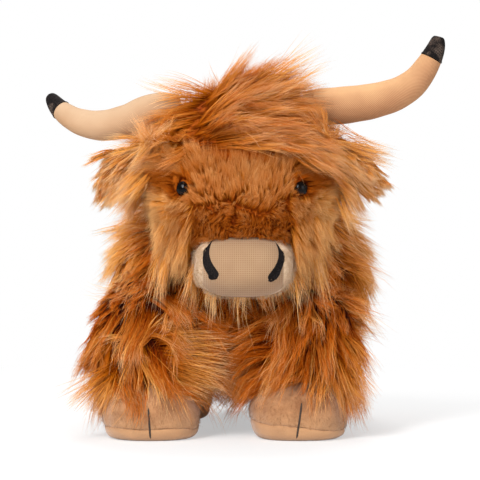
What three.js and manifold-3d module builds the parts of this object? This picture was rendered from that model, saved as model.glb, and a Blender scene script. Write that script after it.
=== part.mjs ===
// A long-haired plush cow, standing on four stuffed legs.
// Millimetres, +Z up. The cow faces -Y, so its own right side is at -X.
// The long pile isn't drawn: each skin's outer face lies where the lie of its pile does.
import * as THREE from 'three';
import { mergeVertices } from 'three/addons/utils/BufferGeometryUtils.js';
import Module from 'manifold-3d';

const wasm = await Module();
wasm.setup();

// Sewing
const seamGap = 0.3; // between two pieces that are sewn or pressed together
const cutOverrun = 30; // how far a cutter runs past what it cuts

// Body
const bodyLength = 236;
const bodyWidth = 226;
const bodyHeight = 150;
const bodyCentreHeight = 128;
const bodyShift = -3; // the toy leans a little towards its right side
const bodySkin = 13; // backing cloth and its pile
const bodyLockDepth = 12; // from the roots between the locks of hair to a lock's crest
const bodyLocksAround = 20;
const bodyLockRows = 10;
const rumpLift = 8;
const neckHoleRadius = 30;

// Head
const headLength = 152;
const headWidth = 146;
const headHeight = 122;
const headCentreHeight = 200;
const headOverhang = 18; // how far the head's centre lies behind the body's front end
const headSkin = 11;

// Muzzle
const muzzleWidth = 80;
const muzzleHeight = 54;
const muzzleDepth = 46;
const muzzleStandout = 17; // from the front end of the head to the front of the muzzle
const muzzleDrop = 3; // of the muzzle's centre below the front end of the head
const frontPanelWidth = 58;
const nostrilHeight = 30;
const nostrilWidth = 11;
const nostrilSpacing = 53;
const nostrilRecess = 1.2;
const nostrilThickness = 2.5;

// Eyes
const eyeDiameter = 11;
const eyeSpacing = 89;
const eyeHeight = 189;
const eyeSocketDepth = 4;
const eyeStemDiameter = 3.6;
const eyeStemReach = 4; // past the inner face of the skin
const washerDiameter = 12;
const washerThickness = 1.5;
const washerSeat = 1; // of the flat washer from the hollow inner face of the skin
const eyeFit = 0.25; // on the radius, round the dome and its stem

// Horns
const hornSpan = 313; // from one tip to the other
const hornRootSpacing = 84;
const hornRootHeight = 253;
const hornRootBehind = 9; // behind the head's centre
const hornDiameter = 35;
const leftHornRise = 55;
const rightHornRise = 12;
const rightHornSag = 13;
const rightHornSweep = 42; // how far the right tip lies behind its root
const hornTipLength = 21;

// Forelock
const forelockWidth = 166;
const forelockDepth = 124;
const forelockHeight = 68;
const forelockCentreHeight = 248;
const forelockLockDepth = 8;
const forelockLocksAround = 12;
const forelockLockRows = 7;
const sweptLockWidth = 30;
const sweptLockThickness = 17;

// Ears
const earLength = 48;
const earWidth = 36;
const earThickness = 15;
const earRootHeight = 215;
const earRootDiameter = 13;
const earDroopDegrees = 28;
const earForward = 8; // of the ear's root before the head's centre

// Legs
const legDiameter = 96;
const legSkin = 11;
const legTopHeight = 124;
const frontStance = 112;
const rearStance = 114;
const frontStanceShift = -13;
const rearStanceShift = -6;
const legOutset = 5; // of a leg's centre outside its hoof's
const frontLegInset = 32; // from the front end of the body
const rearLegInset = 44; // from the rear end of the body

// Hooves
const hoofWidth = 74;
const hoofLength = 86;
const hoofHeight = 42;
const hoofForward = 10; // of a hoof's centre before its leg's
const soleThickness = 9;
const soleRounding = 2.5;
const cleftDepth = 5;
const cleftWidth = 7;
const stitchDiameter = 1.6;
const stitchStandout = 1.9; // of the thread's centre from the bottom of the cleft

// Tail
const tailDiameter = 13;
const tailLength = 92;
const tailRootHeight = 183;
const tuftDiameter = 30;
const tuftLength = 66;
const tuftOverlap = 12; // of the tuft's upper end over the rope

const hair = { color: 0xb9652a, roughness: 0.9, metalness: 0 };
const faceHair = { color: 0xc8793a, roughness: 0.9, metalness: 0 };
const fibre = { color: 0xf3f1ec, roughness: 1, metalness: 0 };
const hornCloth = { color: 0xd8b08a, roughness: 0.85, metalness: 0 };
const blackCloth = { color: 0x221e1c, roughness: 0.9, metalness: 0 };
const hoofCloth = { color: 0xd19a6b, roughness: 0.9, metalness: 0 };
const panelCloth = { color: 0xcda882, roughness: 0.85, metalness: 0 };
const sideCloth = { color: 0xe0c6a8, roughness: 0.9, metalness: 0 };
const thread = { color: 0x3a2c22, roughness: 0.8, metalness: 0 };
const eyePlastic = { color: 0x0c0a09, roughness: 0.08, metalness: 0 };
const washerPlastic = { color: 0xe8e6e0, roughness: 0.5, metalness: 0 };

const across = new THREE.Vector3(1, 0, 0);
const along = new THREE.Vector3(0, 1, 0);
const up = new THREE.Vector3(0, 0, 1);

// Turns a three.js geometry into a solid for cutting and joining
function solidOf(geometry) {
  const bare = geometry.clone();
  bare.deleteAttribute('normal');
  bare.deleteAttribute('uv');
  const merged = mergeVertices(bare);
  return new wasm.Manifold(new wasm.Mesh({
    numProp: 3,
    vertProperties: Float32Array.from(merged.attributes.position.array),
    triVerts: Uint32Array.from(merged.index.array),
  }));
}

// Turns a solid back into a three.js geometry
function geometryOf(solid) {
  const { vertProperties, triVerts } = solid.getMesh();
  const geometry = new THREE.BufferGeometry();
  geometry.setAttribute('position', new THREE.BufferAttribute(vertProperties, 3));
  geometry.setIndex(new THREE.BufferAttribute(triVerts, 1));
  geometry.computeVertexNormals();
  return geometry;
}

function cutAway(solid, ...cutters) {
  return cutters.reduce((left, cutter) => left.subtract(cutter), solid);
}

// Makes the faces of a closed geometry point out
function facingOut(geometry) {
  const { position } = geometry.attributes;
  const corner = (index) => new THREE.Vector3().fromBufferAttribute(position, geometry.index.getX(index));
  let volume = 0;
  for (let face = 0; face < geometry.index.count; face += 3) {
    volume += corner(face).dot(corner(face + 1).cross(corner(face + 2)));
  }
  if (volume < 0) {
    geometry.index.array.reverse();
  }
  return geometry;
}

// Long pile lies in rows of locks: each rises from its root to its crest, over a gap in the next row
function shag(depth, locksAround, lockRows) {
  return (run, turn) => {
    const row = run * lockRows;
    const raised = (1 - Math.cos(row * 2 * Math.PI)) / 2;
    const crest = (1 + Math.cos((turn * locksAround + Math.floor(row) / 2) * 2 * Math.PI)) / 2;
    return depth * (raised * crest - 1 / 3);
  };
}
const combed = () => 0; // no locks
const pointsPerLock = 2;

// A stuffed form swells and tapers along a spine. Its sections are ellipses, one for each pair of
// half sizes, and roundness 1 closes its ends like an egg's, while less makes them blunter.
function stuffedForm({ spine, sideways, halfSizes, roundness, around, rings, locks = combed }, grow = 0) {
  const path = new THREE.CatmullRomCurve3(spine, false, 'centripetal');
  const sections = new THREE.CatmullRomCurve3(
    halfSizes.map(([halfWidth, halfHeight]) => new THREE.Vector3(halfWidth, halfHeight, 0)),
  );
  const geometry = new THREE.SphereGeometry(1, around, rings);
  const { position } = geometry.attributes;
  const point = new THREE.Vector3();
  for (let index = 0; index < position.count; index += 1) {
    point.fromBufferAttribute(position, index);
    const share = THREE.MathUtils.clamp((1 - point.y) / 2, 0, 1);
    const ringRadius = Math.hypot(point.x, point.z);
    const tangent = path.getTangentAt(share);
    const side = sideways.clone().addScaledVector(tangent, -sideways.dot(tangent)).normalize();
    const rise = new THREE.Vector3().crossVectors(side, tangent);
    const section = sections.getPoint(share);
    const swell = ringRadius > 0 ? Math.pow(ringRadius, roundness - 1) : 0;
    const run = Math.acos(THREE.MathUtils.clamp(point.y, -1, 1)) / Math.PI;
    const stands = grow + locks(run, Math.atan2(point.z, point.x) / (2 * Math.PI));
    const place = path.getPointAt(share)
      .addScaledVector(side, point.x * (section.x * swell + stands))
      .addScaledVector(rise, point.z * (section.y * swell + stands))
      .addScaledVector(tangent, -point.y * grow);
    position.setXYZ(index, place.x, place.y, place.z);
  }
  return solidOf(facingOut(mergeVertices(withoutShading(geometry))));
}

function withoutShading(geometry) {
  geometry.deleteAttribute('normal');
  geometry.deleteAttribute('uv');
  return geometry;
}

// A block that holds all between two heights, for cutting forms flat
function slab(lowest, highest) {
  const reach = hornSpan + bodyLength;
  const geometry = new THREE.BoxGeometry(reach + reach, reach + reach, highest - lowest);
  geometry.translate(0, 0, (lowest + highest) / 2);
  return solidOf(geometry);
}

// A cylinder from one point to another
function rod(from, to, radius, sides) {
  const direction = to.clone().sub(from);
  const geometry = new THREE.CylinderGeometry(radius, radius, direction.length(), sides);
  geometry.applyQuaternion(new THREE.Quaternion().setFromUnitVectors(along, direction.normalize()));
  geometry.translate((from.x + to.x) / 2, (from.y + to.y) / 2, (from.z + to.z) / 2);
  return solidOf(geometry);
}

// Body
const bodyFront = -bodyLength / 2;
const bodyRear = bodyLength / 2;
const bodyForm = {
  spine: [
    new THREE.Vector3(bodyShift, bodyFront, bodyCentreHeight),
    new THREE.Vector3(bodyShift, 0, bodyCentreHeight),
    new THREE.Vector3(bodyShift, bodyRear, bodyCentreHeight + rumpLift),
  ],
  sideways: across,
  halfSizes: [
    [bodyWidth * 0.46, bodyHeight * 0.47],
    [bodyWidth * 0.5, bodyHeight * 0.5],
    [bodyWidth * 0.47, bodyHeight * 0.48],
    [bodyWidth * 0.48, bodyHeight * 0.48],
    [bodyWidth * 0.42, bodyHeight * 0.44],
  ],
  roundness: 0.72,
  around: 20,
  rings: 12,
};
const shaggyBody = {
  ...bodyForm,
  locks: shag(bodyLockDepth, bodyLocksAround, bodyLockRows),
  around: bodyLocksAround * pointsPerLock,
  rings: bodyLockRows * pointsPerLock,
};
const bodyOutside = stuffedForm(shaggyBody);
const bodyClearance = stuffedForm(shaggyBody, seamGap);
const bodyInside = stuffedForm(bodyForm, -bodySkin);

// Head
const headCentre = new THREE.Vector3(0, bodyFront + headOverhang, headCentreHeight);
const headSpineShares = [[0.47, 0.11], [0.22, 0.11], [-0.05, 0], [-0.31, -0.2], [-0.45, -0.4]];
const headForm = {
  spine: headSpineShares.map(([back, rise]) => headCentre.clone()
    .addScaledVector(along, back * headLength).addScaledVector(up, rise * headLength)),
  sideways: across,
  halfSizes: [
    [headWidth * 0.44, headHeight * 0.45],
    [headWidth * 0.49, headHeight * 0.5],
    [headWidth * 0.51, headHeight * 0.5],
    [headWidth * 0.5, headHeight * 0.43],
    [headWidth * 0.43, headHeight * 0.34],
  ],
  roundness: 0.74,
  around: 20,
  rings: 13,
};
const headOutside = stuffedForm(headForm);
const headClearance = stuffedForm(headForm, seamGap);
const headInside = stuffedForm(headForm, -headSkin);
const headHollow = stuffedForm(headForm, -headSkin - seamGap); // what fits inside the skin
const headFront = headForm.spine.at(-1);

// The neck hole joins the fillings of the head and the body
const neckTop = headCentre.clone().addScaledVector(along, headHeight / 4);
const neckFoot = new THREE.Vector3(bodyShift, neckTop.y + bodyHeight / 3, bodyCentreHeight);
const neckHole = rod(neckTop, neckFoot, neckHoleRadius, 20);
const neckFilling = rod(neckTop, neckFoot, neckHoleRadius - seamGap, 20);
const bodyFilling = stuffedForm(bodyForm, -bodySkin - seamGap).add(neckFilling.intersect(bodyOutside));

// Finds where a ray first meets a solid, and which way its surface faces there
function surfaceAt(solid, start, direction) {
  const [hit] = new THREE.Raycaster(start, direction).intersectObject(new THREE.Mesh(geometryOf(solid)));
  return { point: hit.point, outward: hit.face.normal.clone() };
}

// Eyes: a dome on a stem that runs through the skin to a washer inside
function buildEye(sign) {
  const ahead = new THREE.Vector3(sign * eyeSpacing / 2, headFront.y - headLength, eyeHeight);
  const { point, outward } = surfaceAt(headOutside, ahead, along);
  const radius = eyeDiameter / 2;
  const into = (depth) => point.clone().addScaledVector(outward, -depth);
  const stemEnd = headSkin + eyeStemReach;
  const dome = new THREE.LatheGeometry([
    new THREE.Vector2(0, 0),
    ...[0.2, 0.4, 0.6, 0.8, 1].map((share) => new THREE.Vector2(
      radius * Math.sin(share * Math.PI / 2),
      radius * 0.72 * (Math.cos(share * Math.PI / 2) - 1),
    )),
    new THREE.Vector2(radius, -radius),
    new THREE.Vector2(eyeStemDiameter / 2, -radius),
    new THREE.Vector2(eyeStemDiameter / 2, -stemEnd),
    new THREE.Vector2(0, -stemEnd),
  ], 20);
  dome.applyQuaternion(new THREE.Quaternion().setFromUnitVectors(along, outward));
  dome.translate(...into(eyeSocketDepth - radius).toArray());
  const washerTop = headSkin + washerSeat;
  const washerDisc = rod(into(washerTop), into(washerTop + washerThickness), washerDiameter / 2, 16);
  const stemHole = rod(into(-cutOverrun), into(stemEnd), eyeStemDiameter / 2 + eyeFit, 16);
  const pocketBack = headSkin + stemEnd;
  return {
    dome: solidOf(facingOut(mergeVertices(withoutShading(dome)))),
    washer: washerDisc.subtract(stemHole).intersect(headHollow),
    socket: rod(into(-cutOverrun), into(eyeSocketDepth + seamGap), radius + eyeFit, 20).add(stemHole),
    pocket: rod(into(0), into(pocketBack), washerDiameter / 2 + eyeFit, 16),
  };
}
const rightEye = buildEye(-1);
const leftEye = buildEye(1);

// Muzzle: one pillow, parted by two curved seams
const muzzleCentre = headFront.clone()
  .addScaledVector(along, muzzleDepth / 2 - muzzleStandout).addScaledVector(up, -muzzleDrop);
const muzzlePillow = stuffedForm({
  spine: [-1, 0, 1].map((share) => muzzleCentre.clone().addScaledVector(along, share * muzzleDepth / 2)),
  sideways: across,
  halfSizes: [
    [muzzleWidth * 0.47, muzzleHeight * 0.47],
    [muzzleWidth * 0.5, muzzleHeight * 0.5],
    [muzzleWidth * 0.5, muzzleHeight * 0.5],
  ],
  roundness: 0.42,
  around: 30,
  rings: 14,
});

// An upright outline, looked at from straight ahead, pushed through the muzzle
function throughMuzzle(shape, centreX, from = headFront.y - cutOverrun - muzzleStandout) {
  const length = cutOverrun + muzzleStandout + muzzleDepth;
  const geometry = new THREE.ExtrudeGeometry(shape, { depth: length, bevelEnabled: false, curveSegments: 5 });
  geometry.rotateX(Math.PI / 2);
  geometry.translate(centreX, from + length, muzzleCentre.z);
  return solidOf(geometry);
}

function frontPanelOutline(inset) {
  const top = muzzleHeight;
  const halfWidth = frontPanelWidth / 2 - inset;
  const shape = new THREE.Shape();
  shape.moveTo(halfWidth * 0.7, -top);
  shape.quadraticCurveTo(halfWidth * 1.32, 0, halfWidth * 0.84, top);
  shape.lineTo(-halfWidth * 0.84, top);
  shape.quadraticCurveTo(-halfWidth * 1.32, 0, -halfWidth * 0.7, -top);
  shape.closePath();
  return shape;
}

// A teardrop whose thin tail curls up and inwards
function nostrilOutline(sign, grow) {
  const halfWidth = nostrilWidth / 2 + grow;
  const halfHeight = nostrilHeight / 2 + grow;
  const shape = new THREE.Shape();
  shape.moveTo(0, -halfHeight);
  shape.bezierCurveTo(
    sign * halfWidth * 1.25, -halfHeight, sign * halfWidth * 1.35, halfHeight * 0.15,
    -sign * halfWidth * 0.35, halfHeight,
  );
  shape.bezierCurveTo(
    -sign * halfWidth * 0.2, halfHeight * 0.3, -sign * halfWidth * 1.5, halfHeight * 0.1,
    -sign * halfWidth * 0.9, -halfHeight * 0.55,
  );
  shape.quadraticCurveTo(-sign * halfWidth * 0.6, -halfHeight, 0, -halfHeight);
  return shape;
}
const muzzleFront = muzzleCentre.y - muzzleDepth / 2;
const nostrilFloor = muzzleFront + nostrilRecess + nostrilThickness + muzzleDepth / 12;
function muzzleBlock(frontY, backY) {
  const geometry = new THREE.BoxGeometry(muzzleWidth + muzzleWidth, backY - frontY, muzzleHeight * 3);
  geometry.translate(muzzleCentre.x, (frontY + backY) / 2, muzzleCentre.z);
  return solidOf(geometry);
}
const nostrils = Object.fromEntries([['right', -1], ['left', 1]].map(([side, sign]) => {
  const centreX = sign * nostrilSpacing / 2;
  const front = muzzleFront - cutOverrun;
  const pocket = throughMuzzle(nostrilOutline(sign, seamGap), centreX)
    .intersect(muzzleBlock(front, nostrilFloor + seamGap));
  const recessed = muzzlePillow.translate(0, nostrilRecess, 0);
  const patch = throughMuzzle(nostrilOutline(sign, 0), centreX)
    .intersect(muzzleBlock(front, nostrilFloor)).intersect(recessed);
  return [side, { pocket, patch }];
}));
const muzzleBlank = cutAway(muzzlePillow, headClearance, nostrils.right.pocket, nostrils.left.pocket);
const frontPanel = muzzleBlank.intersect(throughMuzzle(frontPanelOutline(0), 0));
const sidePanels = muzzleBlank.subtract(throughMuzzle(frontPanelOutline(-seamGap), 0));
function sideOf(solid, sign) {
  const geometry = new THREE.BoxGeometry(hornSpan, bodyLength + hornSpan, bodyHeight + hornSpan);
  geometry.translate(sign * hornSpan / 2, muzzleCentre.y, muzzleCentre.z);
  return solid.intersect(solidOf(geometry));
}

// Horns: [out, rise, back] from root to tip, as shares of each horn's own reach
const leftHornShares = [
  [0, 0, 0], [0.25, 0.02, 0], [0.4, 0.05, 0], [0.55, 0.1, 0], [0.71, 0.2, 0],
  [0.83, 0.36, 0], [0.92, 0.6, 0], [0.975, 0.82, 0], [1, 1, 0],
];
const rightHornShares = [
  [0, 0, 0], [0.25, -0.2, 0.05], [0.42, -0.75, 0.14], [0.6, -1, 0.3], [0.77, -0.72, 0.5],
  [0.91, 0.02, 0.78], [1, 1, 1],
];
const hornRoot = (sign) => new THREE.Vector3(
  sign * hornRootSpacing / 2, headCentre.y + hornRootBehind, hornRootHeight,
);
function hornForm(sign, shares, rise, sag, sweep, thicknessShare) {
  const tipRadius = hornDiameter / 4;
  const out = hornSpan / 2 - tipRadius / 2 - hornRootSpacing / 2;
  const half = (share) => [hornDiameter * share * thicknessShare, hornDiameter * share * thicknessShare];
  return {
    spine: shares.map(([outShare, riseShare, backShare]) => hornRoot(sign).add(new THREE.Vector3(
      sign * out * outShare,
      sweep * backShare,
      riseShare * (riseShare < 0 ? sag : rise),
    ))),
    sideways: along,
    halfSizes: [half(0.5), half(0.5), half(0.48), half(0.45), half(0.41), half(0.34), half(0.25)],
    roundness: 0.42,
    around: 12,
    rings: 14,
  };
}
const hornForms = {
  right: hornForm(-1, rightHornShares, rightHornRise, rightHornSag, rightHornSweep, 0.86),
  left: hornForm(1, leftHornShares, leftHornRise, 0, 0, 1),
};

// Parts a horn from its black tip, square across its spine
function hornPieces(form) {
  const path = new THREE.CatmullRomCurve3(form.spine, false, 'centripetal');
  const seamShare = 1 - hornTipLength / path.getLength();
  const seam = path.getPointAt(seamShare);
  const direction = path.getTangentAt(seamShare);
  const tipEnd = seam.clone().addScaledVector(direction, hornTipLength + cutOverrun);
  const whole = stuffedForm(form);
  const beyond = rod(seam, tipEnd, hornDiameter, 8);
  const beyondTip = rod(seam.clone().addScaledVector(direction, seamGap), tipEnd, hornDiameter, 8);
  return { horn: cutAway(whole, beyond, headClearance), tip: whole.intersect(beyondTip) };
}
const rightHorn = hornPieces(hornForms.right);
const leftHorn = hornPieces(hornForms.left);
const hornClearances = [stuffedForm(hornForms.right, seamGap), stuffedForm(hornForms.left, seamGap)];

// Forelock: a low cap of long pile over the crown and the horn roots
const forelockForm = {
  spine: [-0.5, 0, 0.5].map((share) => new THREE.Vector3(
    headCentre.x + share * forelockWidth,
    headCentre.y + hornRootBehind,
    forelockCentreHeight,
  )),
  sideways: along,
  halfSizes: [
    [forelockDepth * 0.42, forelockHeight * 0.38],
    [forelockDepth * 0.5, forelockHeight * 0.5],
    [forelockDepth * 0.42, forelockHeight * 0.38],
  ],
  roundness: 0.8,
  locks: shag(forelockLockDepth, forelockLocksAround, forelockLockRows),
  around: forelockLocksAround * pointsPerLock,
  rings: forelockLockRows * pointsPerLock,
};

// Its longest locks are swept from the parting over the brow and the horn roots, and down the nape.
// Each route holds shares of half the forelock's width, depth and height, from its middle.
const sweptLockShares = [
  [[-0.36, -0.6, 0.15], [-0.05, -0.98, -0.1], [0.45, -0.98, -0.4], [0.85, -0.8, -0.8]],
  [[-0.36, -0.6, 0.15], [-0.6, -0.9, -0.15], [-0.85, -0.85, -0.55], [-1.1, -0.75, -1]],
  [[0.3, -0.3, 0.5], [0.75, -0.6, 0.2], [1.15, -0.7, -0.2], [1.4, -0.75, -0.7]],
  [[-0.5, -0.3, 0.5], [-0.85, -0.6, 0.1], [-1.2, -0.7, -0.35], [-1.4, -0.75, -0.8]],
  [[0.3, 0.5, 0.4], [0.65, 0.75, 0.1], [0.95, 0.85, -0.4], [1.1, 0.9, -1]],
  [[-0.3, 0.5, 0.4], [-0.65, 0.75, 0.1], [-0.95, 0.85, -0.4], [-1.1, 0.9, -1]],
  [[0, 0.6, 0.3], [0, 1, 0.1], [0, 1.35, -0.4], [0, 1.5, -1]],
];
const sweptLocks = sweptLockShares.map((route) => stuffedForm({
  spine: route.map(([side, back, rise]) => forelockForm.spine[1].clone().add(new THREE.Vector3(
    side * forelockWidth / 2,
    back * forelockDepth / 2,
    rise * forelockHeight / 2,
  ))),
  sideways: up,
  halfSizes: [0.36, 0.5, 0.42, 0.18].map((share) => [sweptLockWidth * share, sweptLockThickness * share]),
  roundness: 0.8,
  around: 8,
  rings: 8,
}));
const forelockWhole = sweptLocks.reduce((whole, lock) => whole.add(lock), stuffedForm(forelockForm));
const forelock = cutAway(forelockWhole, headClearance, ...hornClearances);

// Ears: leaf-shaped flaps that turn about their round sewn roots
function buildEar(sign) {
  const beside = new THREE.Vector3(sign * headWidth, headCentre.y - earForward, earRootHeight);
  const { point, outward } = surfaceAt(headOutside, beside, across.clone().multiplyScalar(-sign));
  const rootRadius = earRootDiameter / 2;
  const root = point.addScaledVector(outward, rootRadius + seamGap);
  const droop = THREE.MathUtils.degToRad(earDroopDegrees);
  const direction = new THREE.Vector3(sign * Math.cos(droop), 0, -Math.sin(droop));
  const reach = (share) => root.clone().addScaledVector(direction, share * earLength - rootRadius);
  const flap = stuffedForm({
    spine: [reach(0), reach(1 / 3), reach(2 / 3), reach(1)],
    sideways: along,
    halfSizes: [
      [rootRadius, rootRadius],
      [earThickness * 0.48, earWidth * 0.36],
      [earThickness * 0.5, earWidth * 0.5],
      [earThickness * 0.48, earWidth * 0.5],
      [earThickness * 0.4, earWidth * 0.34],
    ],
    roundness: 0.78,
    around: 12,
    rings: 10,
  });
  const roundRoot = new THREE.SphereGeometry(rootRadius, 12, 8);
  roundRoot.translate(root.x, root.y, root.z);
  return { root, flap: flap.add(solidOf(roundRoot)) };
}

// Hooves: the outline seen from above, cleft between the two toes
const hoofSides = 32;
function hoofRadius(angle, lengthShare = 1) {
  const squareness = 2.5;
  const reach = Math.pow(
    Math.pow(Math.abs(Math.cos(angle)) * 2 / hoofLength, squareness)
    + Math.pow(Math.abs(Math.sin(angle)) * 2 / hoofWidth, squareness),
    -1 / squareness,
  );
  const cleftAngle = cleftWidth / hoofLength;
  return reach * lengthShare - cleftDepth * Math.exp(-((angle / cleftAngle) ** 2));
}

// Toe fronts bulge at a third of the height and draw in towards the top
const toeProfileShares = [[0, 0.95], [0.2, 1], [0.44, 0.98], [0.66, 0.9], [0.86, 0.74], [1, 0.54]];

function hoofUpper() {
  const bottom = soleThickness + seamGap;
  const height = hoofHeight - bottom;
  const sections = new THREE.CatmullRomCurve3(
    toeProfileShares.map(([rise, width]) => new THREE.Vector3(rise, width, 0)),
  );
  const geometry = new THREE.CylinderGeometry(1, 1, 1, hoofSides, 5);
  geometry.rotateX(Math.PI / 2);
  const { position } = geometry.attributes;
  for (let index = 0; index < position.count; index += 1) {
    const angle = Math.atan2(position.getX(index), -position.getY(index));
    const section = sections.getPoint(position.getZ(index) + 1 / 2);
    const radius = Math.hypot(position.getX(index), position.getY(index)) * hoofRadius(angle, section.y);
    position.setXYZ(
      index,
      radius * Math.sin(angle),
      -radius * Math.cos(angle),
      bottom + section.x * height,
    );
  }
  return solidOf(facingOut(mergeVertices(withoutShading(geometry))));
}

function hoofSole() {
  const inset = soleRounding + soleRounding / 4;
  const outline = new THREE.Shape(Array.from({ length: hoofSides }, (_, step) => {
    const angle = step * 2 * Math.PI / hoofSides;
    const radius = hoofRadius(angle, toeProfileShares[0][1]) - inset;
    return new THREE.Vector2(radius * Math.sin(angle), -radius * Math.cos(angle));
  }));
  const geometry = new THREE.ExtrudeGeometry(outline, {
    depth: soleThickness - soleRounding - soleRounding,
    bevelEnabled: true,
    bevelThickness: soleRounding,
    bevelSize: soleRounding,
    bevelSegments: 1,
  });
  geometry.translate(0, 0, soleRounding);
  return solidOf(geometry);
}

// The dark thread that draws the two toes together lies in the cleft
function toeStitch() {
  const bottom = soleThickness + seamGap;
  const height = hoofHeight - bottom;
  const sections = new THREE.CatmullRomCurve3(
    toeProfileShares.map(([rise, width]) => new THREE.Vector3(rise, width, 0)),
  );
  const points = [0.06, 0.2, 0.35, 0.5, 0.65, 0.8, 0.92].map((share) => {
    const section = sections.getPoint(share);
    const reach = hoofRadius(0, section.y) + stitchStandout;
    return new THREE.Vector3(0, -reach, bottom + section.x * height);
  });
  const round = new THREE.Shape().absarc(0, 0, stitchDiameter / 2, 0, Math.PI * 2, false);
  const geometry = new THREE.ExtrudeGeometry(round, {
    steps: 7,
    curveSegments: 3,
    bevelEnabled: false,
    extrudePath: new THREE.CatmullRomCurve3(points),
  });
  return solidOf(geometry);
}

// Legs: sleeves that swell towards the body, cut by it at the top and flat on the hoof
function legForm(legX, legY) {
  const lean = (bodyShift - legX) / 6;
  const bottom = hoofHeight - legDiameter / 8;
  const radius = legDiameter / 2;
  return {
    spine: [
      new THREE.Vector3(legX, legY, bottom),
      new THREE.Vector3(legX, legY, (bottom + legTopHeight) / 2),
      new THREE.Vector3(legX + lean, legY, legTopHeight),
    ],
    sideways: across,
    halfSizes: [
      [radius * 0.96, radius * 0.94],
      [radius, radius],
      [radius * 0.98, radius * 0.98],
      [radius * 0.86, radius * 0.86],
    ],
    roundness: 0.5,
    around: 14,
    rings: 7,
  };
}
const aboveHoof = slab(hoofHeight + seamGap, hoofHeight + seamGap + bodyHeight + legTopHeight);

function buildLeg(legX, legY) {
  const form = legForm(legX, legY);
  const outside = stuffedForm(form).intersect(aboveHoof);
  const skin = cutAway(outside, stuffedForm(form, -legSkin), bodyClearance, headClearance);
  const filling = cutAway(
    stuffedForm(form, -legSkin - seamGap).intersect(aboveHoof), bodyClearance, headClearance,
  );
  return { skin, filling };
}

// Tail: it follows the rump down from its root, and ends in a tuft of hair
function rumpReach(height) {
  const behind = new THREE.Vector3(bodyShift, bodyRear + bodyLength, height);
  return surfaceAt(bodyOutside, behind, along.clone().negate()).point.y;
}
const tailRadius = tailDiameter / 2;
const tailHinge = new THREE.Vector3(bodyShift, rumpReach(tailRootHeight) + seamGap, tailRootHeight);
const tailLineShares = [0, 0.12, 0.25, 0.4, 0.55, 0.7, 0.85, 1];
let tailOut = tailHinge.y;
const tailForm = {
  spine: tailLineShares.map((share) => {
    const height = tailRootHeight - share * tailLength;
    tailOut = Math.max(tailOut, rumpReach(height) + seamGap);
    return new THREE.Vector3(bodyShift, tailOut + tailRadius, height);
  }),
  sideways: across,
  halfSizes: [[tailRadius, tailRadius], [tailRadius, tailRadius], [tailRadius * 0.85, tailRadius * 0.85]],
  roundness: 0.3,
  around: 10,
  rings: 12,
};
const tail = stuffedForm(tailForm).subtract(bodyClearance);
const tuftTop = tailForm.spine.at(-1).clone().addScaledVector(up, tuftOverlap);
const tuft = cutAway(stuffedForm({
  spine: [0, 0.5, 1].map((share) => tuftTop.clone().addScaledVector(up, -share * tuftLength)),
  sideways: across,
  halfSizes: [
    [tailRadius * 1.3, tailRadius * 1.3],
    [tuftDiameter / 2, tuftDiameter / 2],
    [tuftDiameter / 2, tuftDiameter / 2],
    [tailRadius, tailRadius],
  ],
  roundness: 0.7,
  around: 12,
  rings: 8,
}), stuffedForm(tailForm, seamGap), bodyClearance);

// The object
const cow = new THREE.Group();

// A sewn root that its pieces turn about: they hang in a group of their own there
function addTurningPieces(root, pieces) {
  const turning = new THREE.Group();
  turning.position.copy(root);
  for (const [name, solid, finish] of pieces) {
    addPiece(turning, name, solid.translate(-root.x, -root.y, -root.z), finish);
  }
  cow.add(turning);
}

function addPiece(parent, name, solidOrGeometry, finish) {
  const geometry = solidOrGeometry.isBufferGeometry ? solidOrGeometry : geometryOf(solidOrGeometry);
  const mesh = new THREE.Mesh(geometry, new THREE.MeshStandardMaterial(finish));
  mesh.name = name;
  parent.add(mesh);
  return mesh;
}

addPiece(cow, 'body_skin', cutAway(bodyOutside, bodyInside, neckHole), hair);
addPiece(cow, 'body_filling', bodyFilling, fibre);

const eyeSockets = [rightEye.socket, leftEye.socket];
const eyePockets = [rightEye.pocket, leftEye.pocket];
addPiece(cow, 'head_skin', cutAway(headOutside, headInside, bodyClearance, ...eyeSockets), faceHair);
addPiece(
  cow,
  'head_filling',
  cutAway(headHollow, bodyClearance, ...eyePockets),
  fibre,
);
addPiece(cow, 'forelock', forelock, hair);

const sides = [
  { side: 'right', sign: -1, eye: rightEye, horn: rightHorn },
  { side: 'left', sign: 1, eye: leftEye, horn: leftHorn },
];
for (const { side, sign, eye, horn } of sides) {
  addPiece(cow, `${side}_eye`, eye.dome, eyePlastic);
  addPiece(cow, `${side}_eye_washer`, eye.washer, washerPlastic);
  addPiece(cow, `${side}_horn`, horn.horn, hornCloth);
  addPiece(cow, `${side}_horn_tip`, horn.tip, blackCloth);
  const { root, flap } = buildEar(sign);
  addTurningPieces(root, [[`${side}_ear`, flap, hair]]);
  addPiece(cow, `${side}_muzzle_panel`, sideOf(sidePanels, sign), sideCloth);
  addPiece(cow, `${side}_nostril`, nostrils[side].patch, blackCloth);
}
addPiece(cow, 'front_muzzle_panel', frontPanel, panelCloth);

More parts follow.
